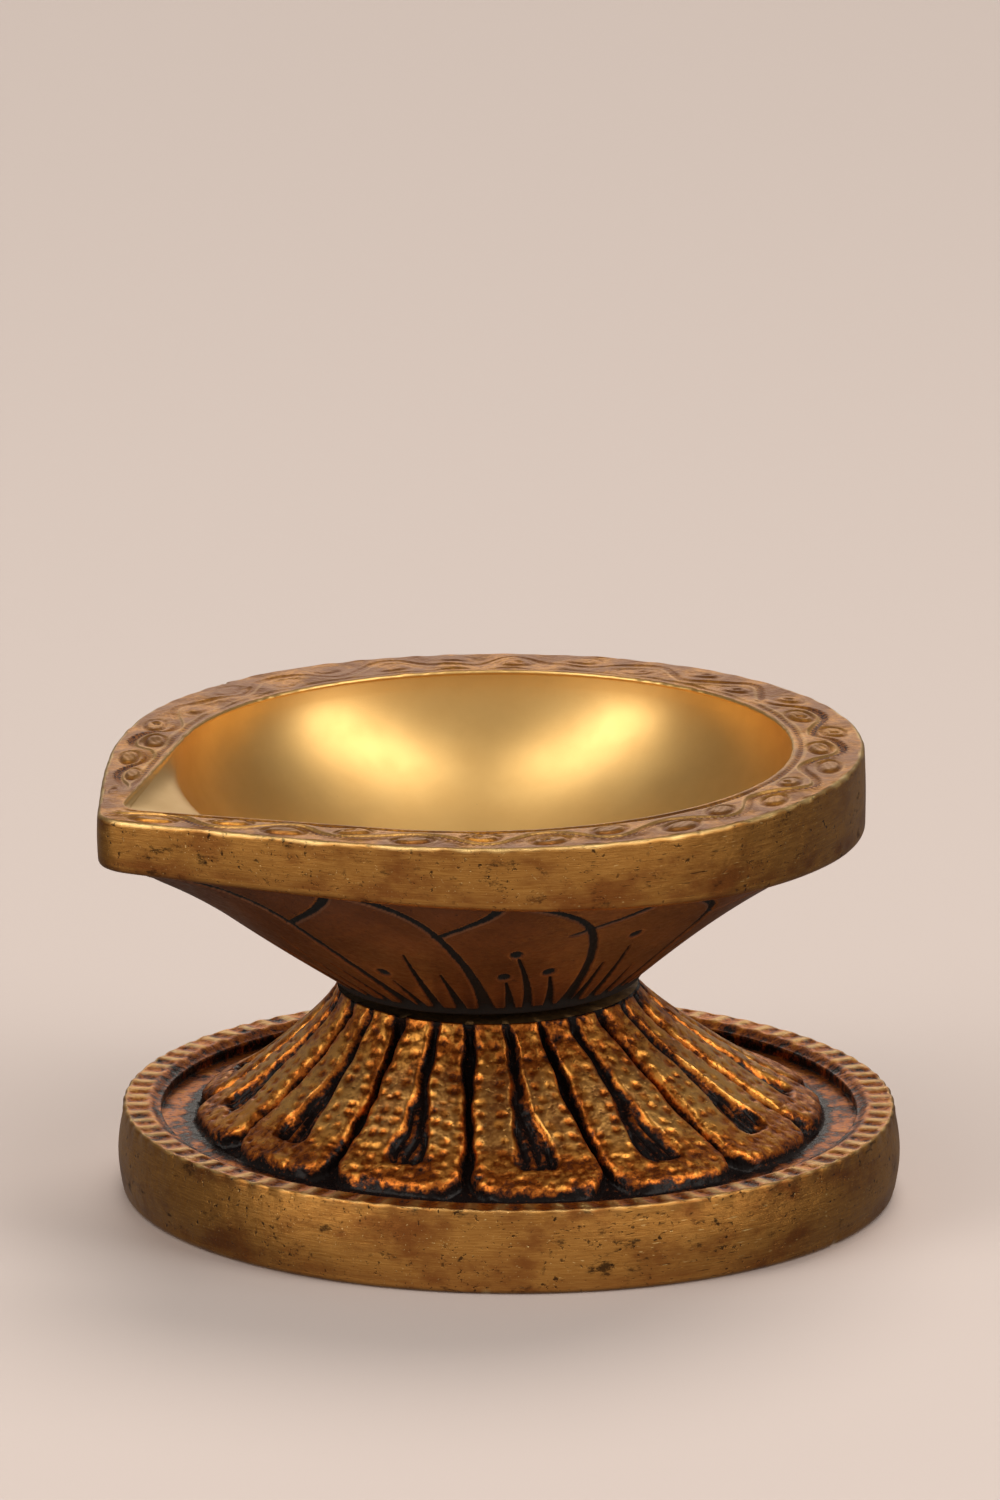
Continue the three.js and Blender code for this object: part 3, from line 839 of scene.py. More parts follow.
@dataclass
class Pedestal:
    """The cast foot and the lotus that rises from it to the seat."""

    seat: Seat
    petals: int = 13
    first_petal: float = math.radians(-6.4)  # middle of the first petal
    beads: int = 84
    columns_in_petal: int = 64
    row_step: float = 0.2 * MM
    foot_height: float = 10 * MM
    bead_rise: float = 0.25 * MM  # the ring stands this much over the band
    bead_tilt: float = 0.3 * MM  # and this much more on its high side
    high_side: float = math.radians(57)
    foot_edge: float = 0.8 * MM
    shoulder: float = 1.2 * MM  # bevel that the beads stand on
    bead_ring: tuple[float, float] = (41.6 * MM, 44.9 * MM)  # where the notches start and end
    bead_depth: float = 0.28 * MM
    band_inner: float = 40.5 * MM  # where the channel starts
    band_fall: float = 0.7 * MM  # how far the plain ring slopes down inwards
    channel_depth: float = 1.5 * MM
    lotus_radius: float = 36.6 * MM
    neck_radius: float = 17.6 * MM
    groove_half: float = 0.5 * MM
    groove_depth: float = 1.9 * MM
    toe_corner: float = 3.6 * MM
    toe_width: float = 3.6 * MM  # plain metal below the petal's hollow
    hollow_depth: float = 1.2 * MM
    dimple_depth: float = 0.23 * MM
    dimple_pitch: float = 1.9 * MM
    foot_wall: float = 7 * MM  # thickness at the very bottom
    hollow_shoulder: float = 5 * MM  # height of the hollow's upright wall
    hollow_draft: float = 1 * MM  # how far that wall leans in
    socket_radius: float = 8.9 * MM
    socket_floor: float = -9.4 * MM
    bore_radius: float = 4.5 * MM
    web: float = 4 * MM  # metal under the socket
    spot_face_radius: float = 10 * MM
    neck_top: float = -0.6 * MM  # under the seat, half the washer and a gap

    def __post_init__(self) -> None:
        """Take the foot's place and radius from the frame."""
        low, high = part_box("pedestal")
        self.axis_x = (low[0] + high[0]) / 2
        self.foot_radius = (high[0] - low[0]) / 2
        self.angle = np.arange(self.petals * self.columns_in_petal) * TURN / (
            self.petals * self.columns_in_petal
        )
        self.skin = Skin()

    def build(self) -> bpy.types.Object:
        """Make the whole casting, from under the foot up to the socket and back.

        Returns:
            The piece.
        """
        self._foot_underside()
        self._foot_side()
        self._bead_ring()
        self._lotus()
        self._neck_and_socket()
        piece = self.skin.build("pedestal_casting", Ends.JOINED)
        dress(
            piece,
            "pedestal",
            "pedestal",
            [RawBrass(), BrushedBrass(), ChasedBrass()],
        )
        return piece

    def _ring(self, radius: Array | float, height: Array | float) -> Array:
        """One row of points round the foot's own axis.

        Args:
            radius: Distances from the axis.
            height: Heights above the table.

        Returns:
            The points.
        """
        x, y = radius * np.cos(self.angle), radius * np.sin(self.angle)
        x, y, z = np.broadcast_arrays(x, y, height)
        return np.stack([self.axis_x + x, y, z], axis=-1)

    def _foot_underside(self) -> None:
        """The flat ring that the lamp stands on."""
        inner = self.foot_radius - self.foot_wall
        raw = PedestalFinish.RAW.value
        for radius in np.linspace(inner, self.foot_radius - self.foot_edge, 8):
            self.skin.add(self._ring(radius, 0.0), raw)

    def _foot_side(self) -> None:
        """The upright band, with a nicked lower edge and a slightly uneven face."""
        band = PedestalFinish.BAND.value
        nicks = np.maximum(ripple(self.angle, 3, (25, 90), 20) - 0.9, 0)
        swell = ripple(self.angle, 4, (2, 9))
        for share in np.linspace(0.15, 1, 7):
            turn = share * math.pi / 2
            radius = self.foot_radius - self.foot_edge * (1 - math.sin(turn))
            height = self.foot_edge * (1 - math.cos(turn))
            depth = nicks * 0.5 * MM * (1 - share * 0.6)
            worn = smooth(nicks, 0.05, 0.4) * 0.6 * (1 - share)
            # The lower rounded edge is darker all round; the nicks show worn metal.
            self.skin.add(self._ring(radius - depth, height), band, worn=worn, stain=0.3)
        top = self.foot_height - self.shoulder
        for height in np.linspace(self.foot_edge, top, 22)[1:]:
            share = (height - self.foot_edge) / (top - self.foot_edge)
            # Darker towards the bottom of the band, unevenly round it.
            low_darkening = smooth(share, 0.3, 0.0) * (0.35 + 0.3 * ripple(self.angle, 5, (6, 40)))
            radius = self.foot_radius + 0.5 * MM * math.sin(share * math.pi) + 0.06 * MM * swell
            self.skin.add(self._ring(radius, height), band, stain=np.clip(low_darkening, 0, 1))

    def _bead_ring(self) -> None:
        """The beads on the foot's top edge and the plain ring inside them."""
        wander = 0.35 * ripple(self.angle, 7, (5, 20))
        wave = 0.5 + 0.5 * np.cos(self.beads * self.angle + wander)
        size = 0.93 + 0.07 * ripple(self.angle, 8, (20, 60))
        bead = wave**0.7 * size
        shoulder_in = self.foot_radius - self.shoulder
        lip = ripple(self.angle, 9, (30, 120), 24)
        edge = 0.55 * MM
        profile = []
        for turn in np.linspace(0.05, math.pi / 2, 8):
            drop = edge * (1 - math.sin(turn))
            profile.append((self.foot_radius - edge * (1 - math.cos(turn)), drop))
        for radius in np.linspace(profile[-1][0], self.band_inner, 26)[1:]:
            share = smooth(radius, shoulder_in - 1.6 * MM, self.band_inner)
            profile.append((radius, self.band_fall * share))
        for number, (radius, drop) in enumerate(profile):
            near, far = self.bead_ring
            window = smooth(radius, near, near + 0.9 * MM)
            window = window * smooth(radius, far + 0.3 * MM, far - 1 * MM)
            cut = (1 - bead) * window
            sink = cut * self.bead_depth + 0.05 * MM * lip * float(radius > 44 * MM)
            inward = 0.16 * MM * (1 - bead) * smooth(radius, 44.0 * MM, 44.9 * MM)
            # A bright line along the foot's rounded top edge: painted highlight. The beads' tops
            # are lighter too.
            on_edge = max(0.0, 1 - abs(number - 5) / 2.6)
            worn = np.clip(on_edge * (0.7 + 0.35 * lip) * (0.55 + 0.45 * bead), 0, 1)
            worn = np.maximum(worn, smooth(bead, 0.55, 0.9) * window * 0.6)
            high = 0.84 - cut * 0.22 - 0.3 * smooth(radius, 42.2 * MM, 41.0 * MM)
            finish = PedestalFinish.BAND if number < 4 else PedestalFinish.CHASED
            rise = self.bead_rise + self.bead_tilt * np.cos(self.angle - self.high_side)
            points = self._ring(radius - inward, self.foot_height + rise - drop - sink)
            self.skin.add(points, finish.value, worn=worn, stain=0.0, height=np.clip(high, 0, 1))

    def _petal_places(self) -> tuple[Array, Array]:
        """Where each column is in its petal: turns from the petal's middle, and its number."""
        turns = (self.angle - self.first_petal) / TURN * self.petals
        number = np.round(turns)
        return turns - number, number.astype(int) % self.petals

    def _lotus(self) -> None:
        """The channel's floor and the ring of hammered petals above it."""
        toe = self.foot_height
        floor = toe - self.channel_depth
        wall = np.linspace(self.foot_height - self.band_fall, floor, 5)
        chased = PedestalFinish.CHASED.value
        for height in wall:
            self.skin.add(self._ring(self.band_inner, height), chased, height=0.42)
        seat_edge = self.seat.origin.z + self.neck_top
        flare = curve_through(
            [
                (self.band_inner - 0.15 * MM, toe),
                (self.lotus_radius, toe),
                (33.6 * MM, 11.3 * MM),
                (29.5 * MM, 13.9 * MM),
                (24.6 * MM, 17.7 * MM),
                (20.9 * MM, 20.9 * MM),
                (18.6 * MM, 23.3 * MM),
                (self.neck_radius, seat_edge - 0.1 * MM),
            ],
            self.row_step,
        )
        slope = np.gradient(flare, axis=0)
        slope /= np.linalg.norm(slope, axis=1)[:, None]
        outward = np.stack([slope[:, 1], -slope[:, 0]], axis=1)
        steps = np.linalg.norm(np.diff(flare, axis=0), axis=1)
        along = np.concatenate([[0], np.cumsum(steps)])
        along -= np.interp(-self.lotus_radius, -flare[:, 0], along)
        offset, number = self._petal_places()
        for (radius, height), (out, up), station in zip(flare, outward, along):
            across = offset * TURN * radius / self.petals
            depth, high = self._petal_relief(across, number, station, radius)
            room = smooth(along[-1] - station, 0.0, 1.6 * MM)
            depth = depth * (0.25 + 0.75 * room)
            worn = smooth(high, 0.93, 1.04) * 0.5
            points = self._ring(radius - out * depth, height - up * depth)
            lean = max(height - self.foot_height, 0) / (self.seat.origin.z - self.foot_height)
            points[:, 0] -= (self.axis_x - self.seat.origin.x) * lean
            self.skin.add(points, chased, height=high, worn=worn)

    def _petal_relief(
        self, across: Array, number: Array, station: float, radius: float
    ) -> tuple[Array, Array]:
        """How deep the surface lies under the petals' tops on one row.

        Args:
            across: Distances from the petal's middle.
            number: Which petal each column is in.
            station: The row's distance from the petals' toes.
            radius: The row's distance from the foot's axis.

        Returns:
            The depth in metres, and the height as a share, which the finish reads.
        """
        pick = np.random.default_rng(21)
        # How far each petal's hollow stands aside, and how much longer it is than the others.
        sway = pick.uniform(-0.35, 0.35, self.petals) * MM
        grow = pick.uniform(-0.3, 0.35, self.petals) * MM
        wobble = np.sin(station / (2.6 * MM) + number * 1.7) * 0.2 * MM
        wobble = wobble + np.sin(station / (0.9 * MM) + number * 4.1 + across / MM) * 0.12 * MM
        across = across + wobble
        half_pitch = math.pi * radius / self.petals
        side = np.abs(across) - (half_pitch - self.groove_half)
        end = np.full_like(across, -station) + grow[number] * 0.5
        inside = rounded_box(side, end, self.toe_corner)
        raised = smooth(inside, -0.32 * MM, 0.3 * MM)
        fall = np.where(station < 0, self.channel_depth, self.groove_depth)
        depth = fall * (1 - raised)
        depth = depth + 0.35 * MM * smooth(inside, 1.3 * MM, 0.1 * MM) ** 2 * raised
        widths = np.interp(
            station,
            np.array([2.5, 5, 8, 12, 16, 21, 26]) * MM,
            np.array([2.5, 2.7, 2.1, 1.3, 0.85, 0.7, 0.6]) * MM,
        )
        mid = np.abs(across - sway[number]) - widths
        foot_of_hollow = (self.toe_width + grow[number]) - station
        hollow = rounded_box(mid, foot_of_hollow, min(1.3 * MM, widths * 0.9))
        sunk = smooth(hollow, -0.3 * MM, 0.75 * MM)
        bend = 0.25 * np.sin(station / (1.9 * MM) + number * 2.2)
        lines = 0.5 + 0.5 * np.cos((across - sway[number]) / (0.24 * MM) + number + bend * 4)
        lines = lines * smooth(station, 19 * MM, 9 * MM)
        depth = depth + self.hollow_depth * sunk * (1 - 0.45 * lines)
        edges = (np.full_like(across, widths), np.full_like(across, half_pitch - self.groove_half))
        dents = self._dimples(across, number, station, edges)
        flat = raised * (1 - sunk)
        depth = depth + self.dimple_depth * dents * flat
        high = 1.0 - 0.95 * (1 - raised) - (0.50 + 0.42 * (1 - lines)) * sunk
        high = high - 0.26 * dents * flat - 0.16 * smooth(inside, 1.0 * MM, 0.1 * MM) * raised
        high = high - 0.18 * smooth(station, 15 * MM, 26 * MM)
        high = high - 0.16 * smooth(station, 8 * MM, 2 * MM)
        floor = 0.64 * smooth(station, -0.2 * MM, -1.6 * MM)
        return depth, np.maximum(high, floor)

    def _dimples(
        self, across: Array, number: Array, station: float, edges: tuple[Array, Array]
    ) -> Array:
        """Hammer marks in loose rows along the two raised borders of each petal.

        Args:
            across: Distances from the petal's middle.
            number: Which petal each column is in.
            station: The row's distance from the petals' toes.
            edges: Distances from the petal's middle to its border's inner and outer edges.

        Returns:
            How deep the mark is at each column, from 0 to 1.
        """
        near, far = edges
        rows = (far - near) / self.dimple_pitch + 0.6 * (self._shuffle(number * 3.1) - 0.5)
        cell = (far - near) / np.maximum(np.round(rows), 1)
        beside = (np.abs(across) - near) / cell
        row = np.floor(beside)
        key = number * 17.3 + np.sign(across) * 5.7 + row * 3.3
        along = station / self.dimple_pitch + self._shuffle(key)
        step = np.floor(along)
        first = self._shuffle(key + step * 7.9)
        second = self._shuffle(key + step * 4.7 + 0.7)
        third = self._shuffle(key + step * 9.1 + 1.9)
        x = (beside - row - 0.5 + 0.4 * (first - 0.5)) * cell / self.dimple_pitch
        y = along - step - 0.5 + 0.4 * (second - 0.5)
        strength = 0.35 + 0.65 * self._shuffle(key + step * 2.3 + 3.1)
        return strength * smooth(np.hypot(x, y), 0.38 + 0.14 * third, 0.0)

    def _shuffle(self, key: Array) -> Array:
        """A number from 0 to 1 for each key, always the same one."""
        value = np.sin(key * 12.9898 + 4.1) * 43758.5453
        return value - np.floor(value)

    def _neck_and_socket(self) -> None:
        """The flat seat, the socket, the bore, and back down the hollow under the foot."""
        raw = PedestalFinish.RAW.value
        top = self.neck_top
        for share in (0.02, 0.3, 0.6):
            radius = self.neck_radius * (1 - share) + (self.socket_radius + 0.3 * MM) * share
            self.skin.add(self.seat.ring(self.angle, radius, top), raw)
        web_low = self.socket_floor - self.web
        profile = [
            (self.socket_radius + 0.3 * MM, top),
            (self.socket_radius, top - 0.3 * MM),
            (self.socket_radius, self.socket_floor + 0.2 * MM),
            (self.socket_radius - 0.2 * MM, self.socket_floor),
            (self.bore_radius + 0.2 * MM, self.socket_floor),
            (self.bore_radius, self.socket_floor - 0.2 * MM),
            (self.bore_radius, web_low + 0.2 * MM),
            (self.bore_radius + 0.2 * MM, web_low),
            (self.spot_face_radius, web_low),
        ]
        for (radius, height), (after, lower) in zip(profile, profile[1:] + profile[-1:]):
            for share in np.linspace(0, 1, 4, endpoint=False):
                self.skin.add(
                    self.seat.ring(
                        self.angle,
                        radius + (after - radius) * share,
                        height + (lower - height) * share,
                    ),
                    raw,
                )
        inner = self.foot_radius - self.foot_wall
        roof = self.seat.origin.z + web_low
        start = self.spot_face_radius + abs(self.axis_x - self.seat.origin.x)
        for share in np.linspace(0, 1, 14):
            radius = start + (inner - self.hollow_draft - start) * share
            height = roof + (self.hollow_shoulder - roof) * share
            cast = 0.1 * MM * ripple(self.angle, 40 + round(share * 13), (3, 30))
            self.skin.add(self._ring(radius, height - abs(cast)), raw)
        for share in np.linspace(0.15, 0.98, 7):
            radius = inner - self.hollow_draft * (1 - share)
            self.skin.add(self._ring(radius, self.hollow_shoulder * (1 - share)), raw)


# ---- The bowl -----------------------------------------------------------------------------------


class BowlFinish(Enum):
    """Which finish each stretch of the bowl wears."""

    RAW = 0
    CONE = 1
    BAND = 2
    RIM = 3
    INSIDE = 4


@dataclass
class Bowl:
    """The spouted bowl, with its engraved rim and cone and its tapped spigot."""

    seat: Seat
    thread: Thread
    columns: int = 1400
    base_radius: float = 18.1 * MM
    base_edge: float = 0.7 * MM
    base_height: float = 0.6 * MM
    rim_radius: float = 43.9 * MM
    spout_reach: float = 51.6 * MM
    tip_radius: float = 4.6 * MM
    height: float = 27.5 * MM
    rim_height: float = 8.4 * MM
    rim_lip: float = 2.2 * MM  # the band's overhang past the cone
    low_edge: float = 0.9 * MM  # rounding under the band
    low_tilt: float = 0.043  # rise of the band's lower edge towards the spout
    top_edge: float = 0.6 * MM  # rounding over the band
    rim_width: float = 8.1 * MM
    spout_rim_width: float = 4.6 * MM  # width of the flat top at the tip
    opening_turn: float = math.radians(-3)  # the opening's point is a little off the rim's
    depth: float = 20 * MM
    shelf_depth: float = 0.7 * MM  # of the wick's channel at the tip
    shelf_slope: float = math.radians(12)
    spigot_radius: float = 8.5 * MM
    spigot_length: float = 6.4 * MM
    tap_floor: float = 4.1 * MM  # metal left over the tapped hole
    belly: float = 1.0 * MM  # how far the cone's flanks hang to the spout's side
    rubbed_side: float = math.radians(62)  # where hands have worn the vine
    blend: float = 14  # how sharply the channel meets the hollow
    petals: int = 13
    first_cut: float = math.radians(236.6)
    cut_width: float = 1.15 * MM
    cut_depth: float = 0.55 * MM
    vine_waves: int = 17
    vine_crest: float = math.radians(236.5)
    vine_swing: float = 1.85 * MM

    def __post_init__(self) -> None:
        """Set out the columns and the sizes that follow from others."""
        self.angle = np.arange(self.columns) * TURN / self.columns
        self.opening_radius = self.rim_radius - self.rim_width
        self.opening_reach = self.spout_reach - self.spout_rim_width
        self.skin = Skin()

    def build(self) -> bpy.types.Object:
        """Make the whole casting, from the tapped hole round the outside to the floor.

        Returns:
            The piece.
        """
        self._tapped_spigot()
        self._cone()
        self._band()
        self._rim()
        self._inside()
        piece = self.skin.build("bowl_casting", Ends.POINTS)
        finishes = [
            RawBrass(),
            BrownPatina(),
            BrushedBrass(),
            EngravedBrass(),
            PolishedBrass(),
        ]
        dress(piece, "bowl", "bowl", finishes)
        return piece

    def _outline(self, radius: float, reach: float, tip: float, turn: float = 0) -> Array:
        """Distances from the axis to a circle drawn out to a rounded tip.

        Args:
            radius: The circle's radius.
            reach: How far the tip is from the axis.
            tip: The radius that rounds the tip.
            turn: How far the tip is turned away from the spout's direction.

        Returns:
            One distance for each column.
        """
        aside = np.abs(self.angle - math.pi - turn)
        centre = reach - tip
        if centre <= radius - tip:
            return np.full_like(aside, radius)
        leaves = math.acos((radius - tip) / centre)
        rounds = math.atan2(tip * math.sin(leaves), centre + tip * math.cos(leaves))
        straight = radius / np.cos(np.clip(leaves - aside, 0, leaves))
        under = np.maximum(tip**2 - (centre * np.sin(aside)) ** 2, 0)
        round_tip = centre * np.cos(aside) + np.sqrt(under)
        return np.where(aside >= leaves, radius, np.where(aside >= rounds, straight, round_tip))

    def _rim_line(self, inset: float) -> Array:
        """The rim's outline: a little flat beside the spout and a little full across.

        Args:
            inset: How far inside the rim's outer face the line runs.

        Returns:
            One distance for each column.
        """
        aside = np.abs(self.angle - math.pi)
        flat = np.exp(-(((aside - math.radians(43)) / math.radians(15)) ** 2))
        full = np.exp(-(((aside - math.radians(90)) / math.radians(18)) ** 2))
        line = self._outline(self.rim_radius - inset, self.spout_reach - inset, self.tip_radius)
        return line - 0.8 * MM * flat + 0.7 * MM * full

    def _low_line(self) -> Array:
        """Heights of the rim's lower edge, which rises a little towards the spout."""
        run = self._rim_line(0) * np.cos(self.angle)
        return self.height - self.rim_height - run * self.low_tilt

    def _row(
        self, distance: Array | float, height: Array | float, finish: BowlFinish, **marks: Array
    ) -> None:
        """Put one row on the skin at distances from the axis and heights above the seat."""
        self.skin.add(self.seat.ring(self.angle, distance, height), finish.value, **marks)

    def _tapped_spigot(self) -> None:
        """The blind tapped hole, and the stub round it."""
        raw = BowlFinish.RAW
        low = self.base_height - self.spigot_length
        hole_top = self.height - self.depth - self.tap_floor
        self._row(0.6 * MM, hole_top, raw)
        self._row(2.4 * MM, hole_top, raw)
        for height in self.thread.heights(low + 0.5 * MM, hole_top - 0.1 * MM)[::-1]:
            self._row(self.thread.inner(self.angle, height), height, raw)
        self._row(self.thread.radius + 0.45 * MM, low, raw)
        self._row(self.spigot_radius - 0.7 * MM, low, raw)
        self._row(self.spigot_radius - 0.2 * MM, low + 0.2 * MM, raw)
        for share in np.linspace(0, 1, 6):
            height = low + 0.7 * MM + (self.spigot_length - 0.7 * MM) * share
            self._row(self.spigot_radius, height, raw)
        for radius in np.linspace(self.spigot_radius + 0.4 * MM, 17 * MM, 6):
            self._row(radius, self.base_height, raw)

    def _cone(self) -> None:
        """The cone, engraved with overlapping petals, up to the ledge under the rim, with painted
        shade at the joint and under the ledge.
        """
        low = self.base_height + self.base_edge
        high = self.height - self.rim_height
        extra = self._low_line() - high
        # The rounded foot of the cone at the joint is marked nearly black through the cut mark:
        # painted shade.
        for turn in np.linspace(0, math.pi / 2, 5)[:-1]:
            radius = self.base_radius - self.base_edge * (1 - math.sin(turn))
            height = low - self.base_edge * math.cos(turn)
            self._row(radius, height, BowlFinish.CONE, cut=0.9)
        top = self._rim_line(self.rim_lip)
        slant = math.hypot(self.rim_radius - self.rim_lip - self.base_radius, high - low)
        for share in np.linspace(0, 1, 118):
            radius = self.base_radius + (self.rim_radius - self.rim_lip - self.base_radius) * share
            distance = radius + (top - self.rim_radius + self.rim_lip) * share**5
            distance = distance - self.belly * math.sin(share * math.pi) * np.cos(self.angle)
            cut, lit = self._petal_cuts(share, distance, slant)
            hollow = 0.25 * MM * math.sin(share * math.pi)
            # Painted shade: the last rows under the band's overhang and the first rows at the joint
            # go black through the cut mark. The lit lips are a painted highlight.
            shade = float(smooth(share, 0.985, 1.0) + smooth(share, 0.03, 0))
            depth = self.cut_depth * cut * (1 - shade)
            self._row(
                distance - hollow - depth * 0.65,
                low + (high - low) * share + extra * share**4 + depth * 0.75,
                BowlFinish.CONE,
                cut=np.maximum(cut, shade),
                worn=lit,
            )
        # The ledge under the band is marked dark through the cut mark: painted shade.
        for inset in (self.rim_lip * 0.7, self.rim_lip * 0.4):
            self._row(self._rim_line(inset), high + extra, BowlFinish.CONE, cut=0.55)

    def _petal_cuts(self, share: float, distance: Array, slant: float) -> tuple[Array, Array]:
        """The graver's work on one row of the cone.

        Args:
            share: The row's place, from 0 at the joint to 1 under the rim.
            distance: The row's distances from the axis.
            slant: The cone's length from joint to rim.

        Returns:
            How deep the cut is, from 0 to 1, and how bright the painted highlight along its lips
            is.
        """
        pitch = TURN / self.petals
        rise = share * slant
        nearest = np.full_like(distance, 9.0)
        for petal in range(self.petals):
            pick = np.random.default_rng(500 + petal)
            start = self.first_cut + petal * pitch + math.radians(pick.uniform(-1.4, 1.4))
            away = (self.angle - start + math.pi) % TURN - math.pi
            # The long edge leans back as it rises and turns flat just under the rim.
            lean = math.radians(9 * share + 5 * share**3 + 9 * share**14)
            steep = math.radians(9 + 15 * share**2 + 126 * share**13) * distance / slant
            width = self.cut_width * (1.0 - 0.25 * share + 0.8 * (1 - share) ** 6)
            edge = np.abs(away + lean) * distance / np.hypot(1, steep) / (width / 2)
            nearest = np.minimum(nearest, np.where(away > math.radians(-31), edge, 9))
            # The short edge runs down from the petal's tip to the petal that covers it.
            short = math.radians(27 + 36 * (1 - share) + 2 * math.sin(share * 12))
            steep = math.radians(36) * distance / slant
            edge = np.abs(away + short) * distance / np.hypot(1, steep) / (0.5 * MM)
            nearest = np.minimum(nearest, edge if share > 0.735 else 9)
            nearest = np.minimum(nearest, self._veins(away * distance, rise, distance, petal))
        rough = 0.12 * np.sin(self.angle * 611 + rise / (0.31 * MM))
        cut = smooth(nearest + rough, 1.25, 0.45)
        # The second share is a painted highlight along the cut's lips.
        return cut, smooth(nearest, 1.7, 1.3) * smooth(nearest, 0.9, 1.2) * 0.3

    def _veins(self, x: Array, rise: float, distance: Array, petal: int) -> Array:
        """The short strokes at the foot of a petal and the punch marks above them.

        Args:
            x: Distances from the foot of the petal's long edge.
            rise: How far up the cone the row is.
            distance: The row's distances from the axis.
            petal: Which petal it is.

        Returns:
            Distances from the nearest mark, in half widths of it.
        """
        # place and lean in degrees, length, height of the mark above (0 for none), in mm
        patterns = (
            ((-23.5, -1.5, 8.2, 10.8), (-17.6, 0.5, 16.5, 0), (-9.0, -2.0, 11.0, 0)),
            ((-20.5, -3.2, 8.4, 10.4), (-14.2, -7.6, 15.6, 17.0), (-6.4, -6.0, 9.4, 11.2)),
            ((-21.0, -4.0, 12.0, 0), (-14.0, -8.0, 16.2, 20.0), (-7.0, -5.0, 9.0, 0)),
        )
        nearest = np.full_like(x, 9.0)
        for place, lean, length, mark in patterns[petal % 3]:
            up = min(rise / (length * MM), 1.0)
            line = np.radians(place + lean * up) * distance
            width = (0.62 - 0.46 * up) * MM
            past = max(rise - length * MM, 0.0)
            nearest = np.minimum(nearest, np.hypot((x - line) / width, past / (0.3 * MM)))
            if mark:
                middle = np.radians(place + lean * mark / length) * distance
                apart = np.hypot((x - middle) / (0.75 * MM), (rise - mark * MM) / (1.0 * MM))
                nearest = np.minimum(nearest, apart)
        return nearest

    def _band(self) -> None:
        """The upright band round the rim, with its worn, slightly ragged top edge and a painted
        highlight along it, darker towards the bottom.
        """
        low = self._low_line()
        swell = ripple(self.angle, 11, (3, 14))
        lip = ripple(self.angle, 12, (14, 80), 24)
        nicks = np.maximum(ripple(self.angle, 13, (12, 90), 24) - 1.25, 0)
        # The rounding under the band: darker, most where it faces down.
        for turn in np.linspace(0, math.pi / 2, 6):
            inset = self.low_edge * (1 - math.sin(turn))
            height = low + self.low_edge * (1 - math.cos(turn))
            self._row(
                self._rim_line(inset),
                height,
                BowlFinish.BAND,
                stain=0.5 - 0.25 * turn,
                worn=0.0,
            )
        top = self.height - self.top_edge
        for share in np.linspace(0, 1, 22)[1:]:
            inset = -0.1 * MM * math.sin(share * math.pi) * (1 + 0.7 * swell)
            height = low + self.low_edge + (top - low - self.low_edge) * share
            # Darker towards the bottom of the band, unevenly round it.
            stain = np.clip(smooth(share, 0.35, 0) * (0.4 + 0.35 * lip), 0, 1)
            self._row(self._rim_line(0) - inset, height, BowlFinish.BAND, stain=stain, worn=0.0)
        for turn in np.linspace(0.2, math.pi / 2, 7):
            inset = self.top_edge * (1 - math.cos(turn))
            height = top + self.top_edge * math.sin(turn)
            chip = nicks * 0.6 * MM + 0.05 * MM * lip
            # A bright line along the rounded top edge, strongest a little above its middle: painted
            # highlight.
            bright = 0.66 + 0.25 * lip - 1.5 * abs(turn / (math.pi / 2) - 0.62)
            self._row(
                self._rim_line(inset) - chip * math.sin(turn),
                height - chip * 0.5 * (1 + math.sin(turn)),
                BowlFinish.BAND if turn < 1.2 else BowlFinish.RIM,
                worn=np.clip(bright, 0, 0.9),
                stain=0.0,
            )

    def _rim(self) -> None:
        """The flat top, with its vine, leaves and stippled border."""
        outer = self._rim_line(self.top_edge)
        inner = self._opening(0.0)
        middle = (outer + inner) / 2
        x, y = middle * np.cos(self.angle), middle * np.sin(self.angle)
        step = np.hypot(np.roll(x, -1) - x, np.roll(y, -1) - y)
        along = np.concatenate([[0], np.cumsum(step)[:-1]])
        along = along - np.interp(self.vine_crest, self.angle, along)
        phase = along / step.sum() * self.vine_waves + 0.25
        phase = phase + 0.05 * ripple(self.angle, 14, (3, 9))
        wave = step.sum() / self.vine_waves
        dip = 0.2 * MM * ripple(self.angle, 15, (8, 40), 16)
        rubbed = np.cos(self.angle - self.rubbed_side) + 0.15 * ripple(self.angle, 16, (4, 12))
        fresh = 1 - 0.65 * smooth(rubbed, 0.1, 0.8)
        for share in np.linspace(0, 1, 48)[1:]:
            distance = outer + (inner - outer) * share
            across = (0.5 - share) * (outer - inner)
            ink, groove, relief, lit = self._engraving(phase, wave, across, outer - inner)
            flat = float(np.clip(1 - smooth(share, 0.05, 0) - (share > 0.97), 0, 1))
            height = self.height - 0.24 * MM * groove * fresh * flat + relief * fresh * flat
            height = height + dip * math.sin(share * math.pi)
            relief = relief * fresh
            ink = ink * fresh
            # Painted highlights beside the vine, the border and round the leaves; the raised leaves
            # and the opening's edge are a little lighter.
            worn = np.maximum(lit * 0.5 * fresh, smooth(relief, 0.1 * MM, 0.2 * MM) * 0.15)
            worn = np.maximum(worn, float(smooth(share, 0.95, 1.0)) * 0.3)
            self._row(distance, height, BowlFinish.RIM, cut=ink, worn=worn)

    def _opening(self, inset: float) -> Array:
        """The line of the opening's edge, moved inwards by inset."""
        return self._outline(
            self.opening_radius - inset,
            self.opening_reach - inset,
            self.tip_radius * 0.8,
            self.opening_turn,
        )

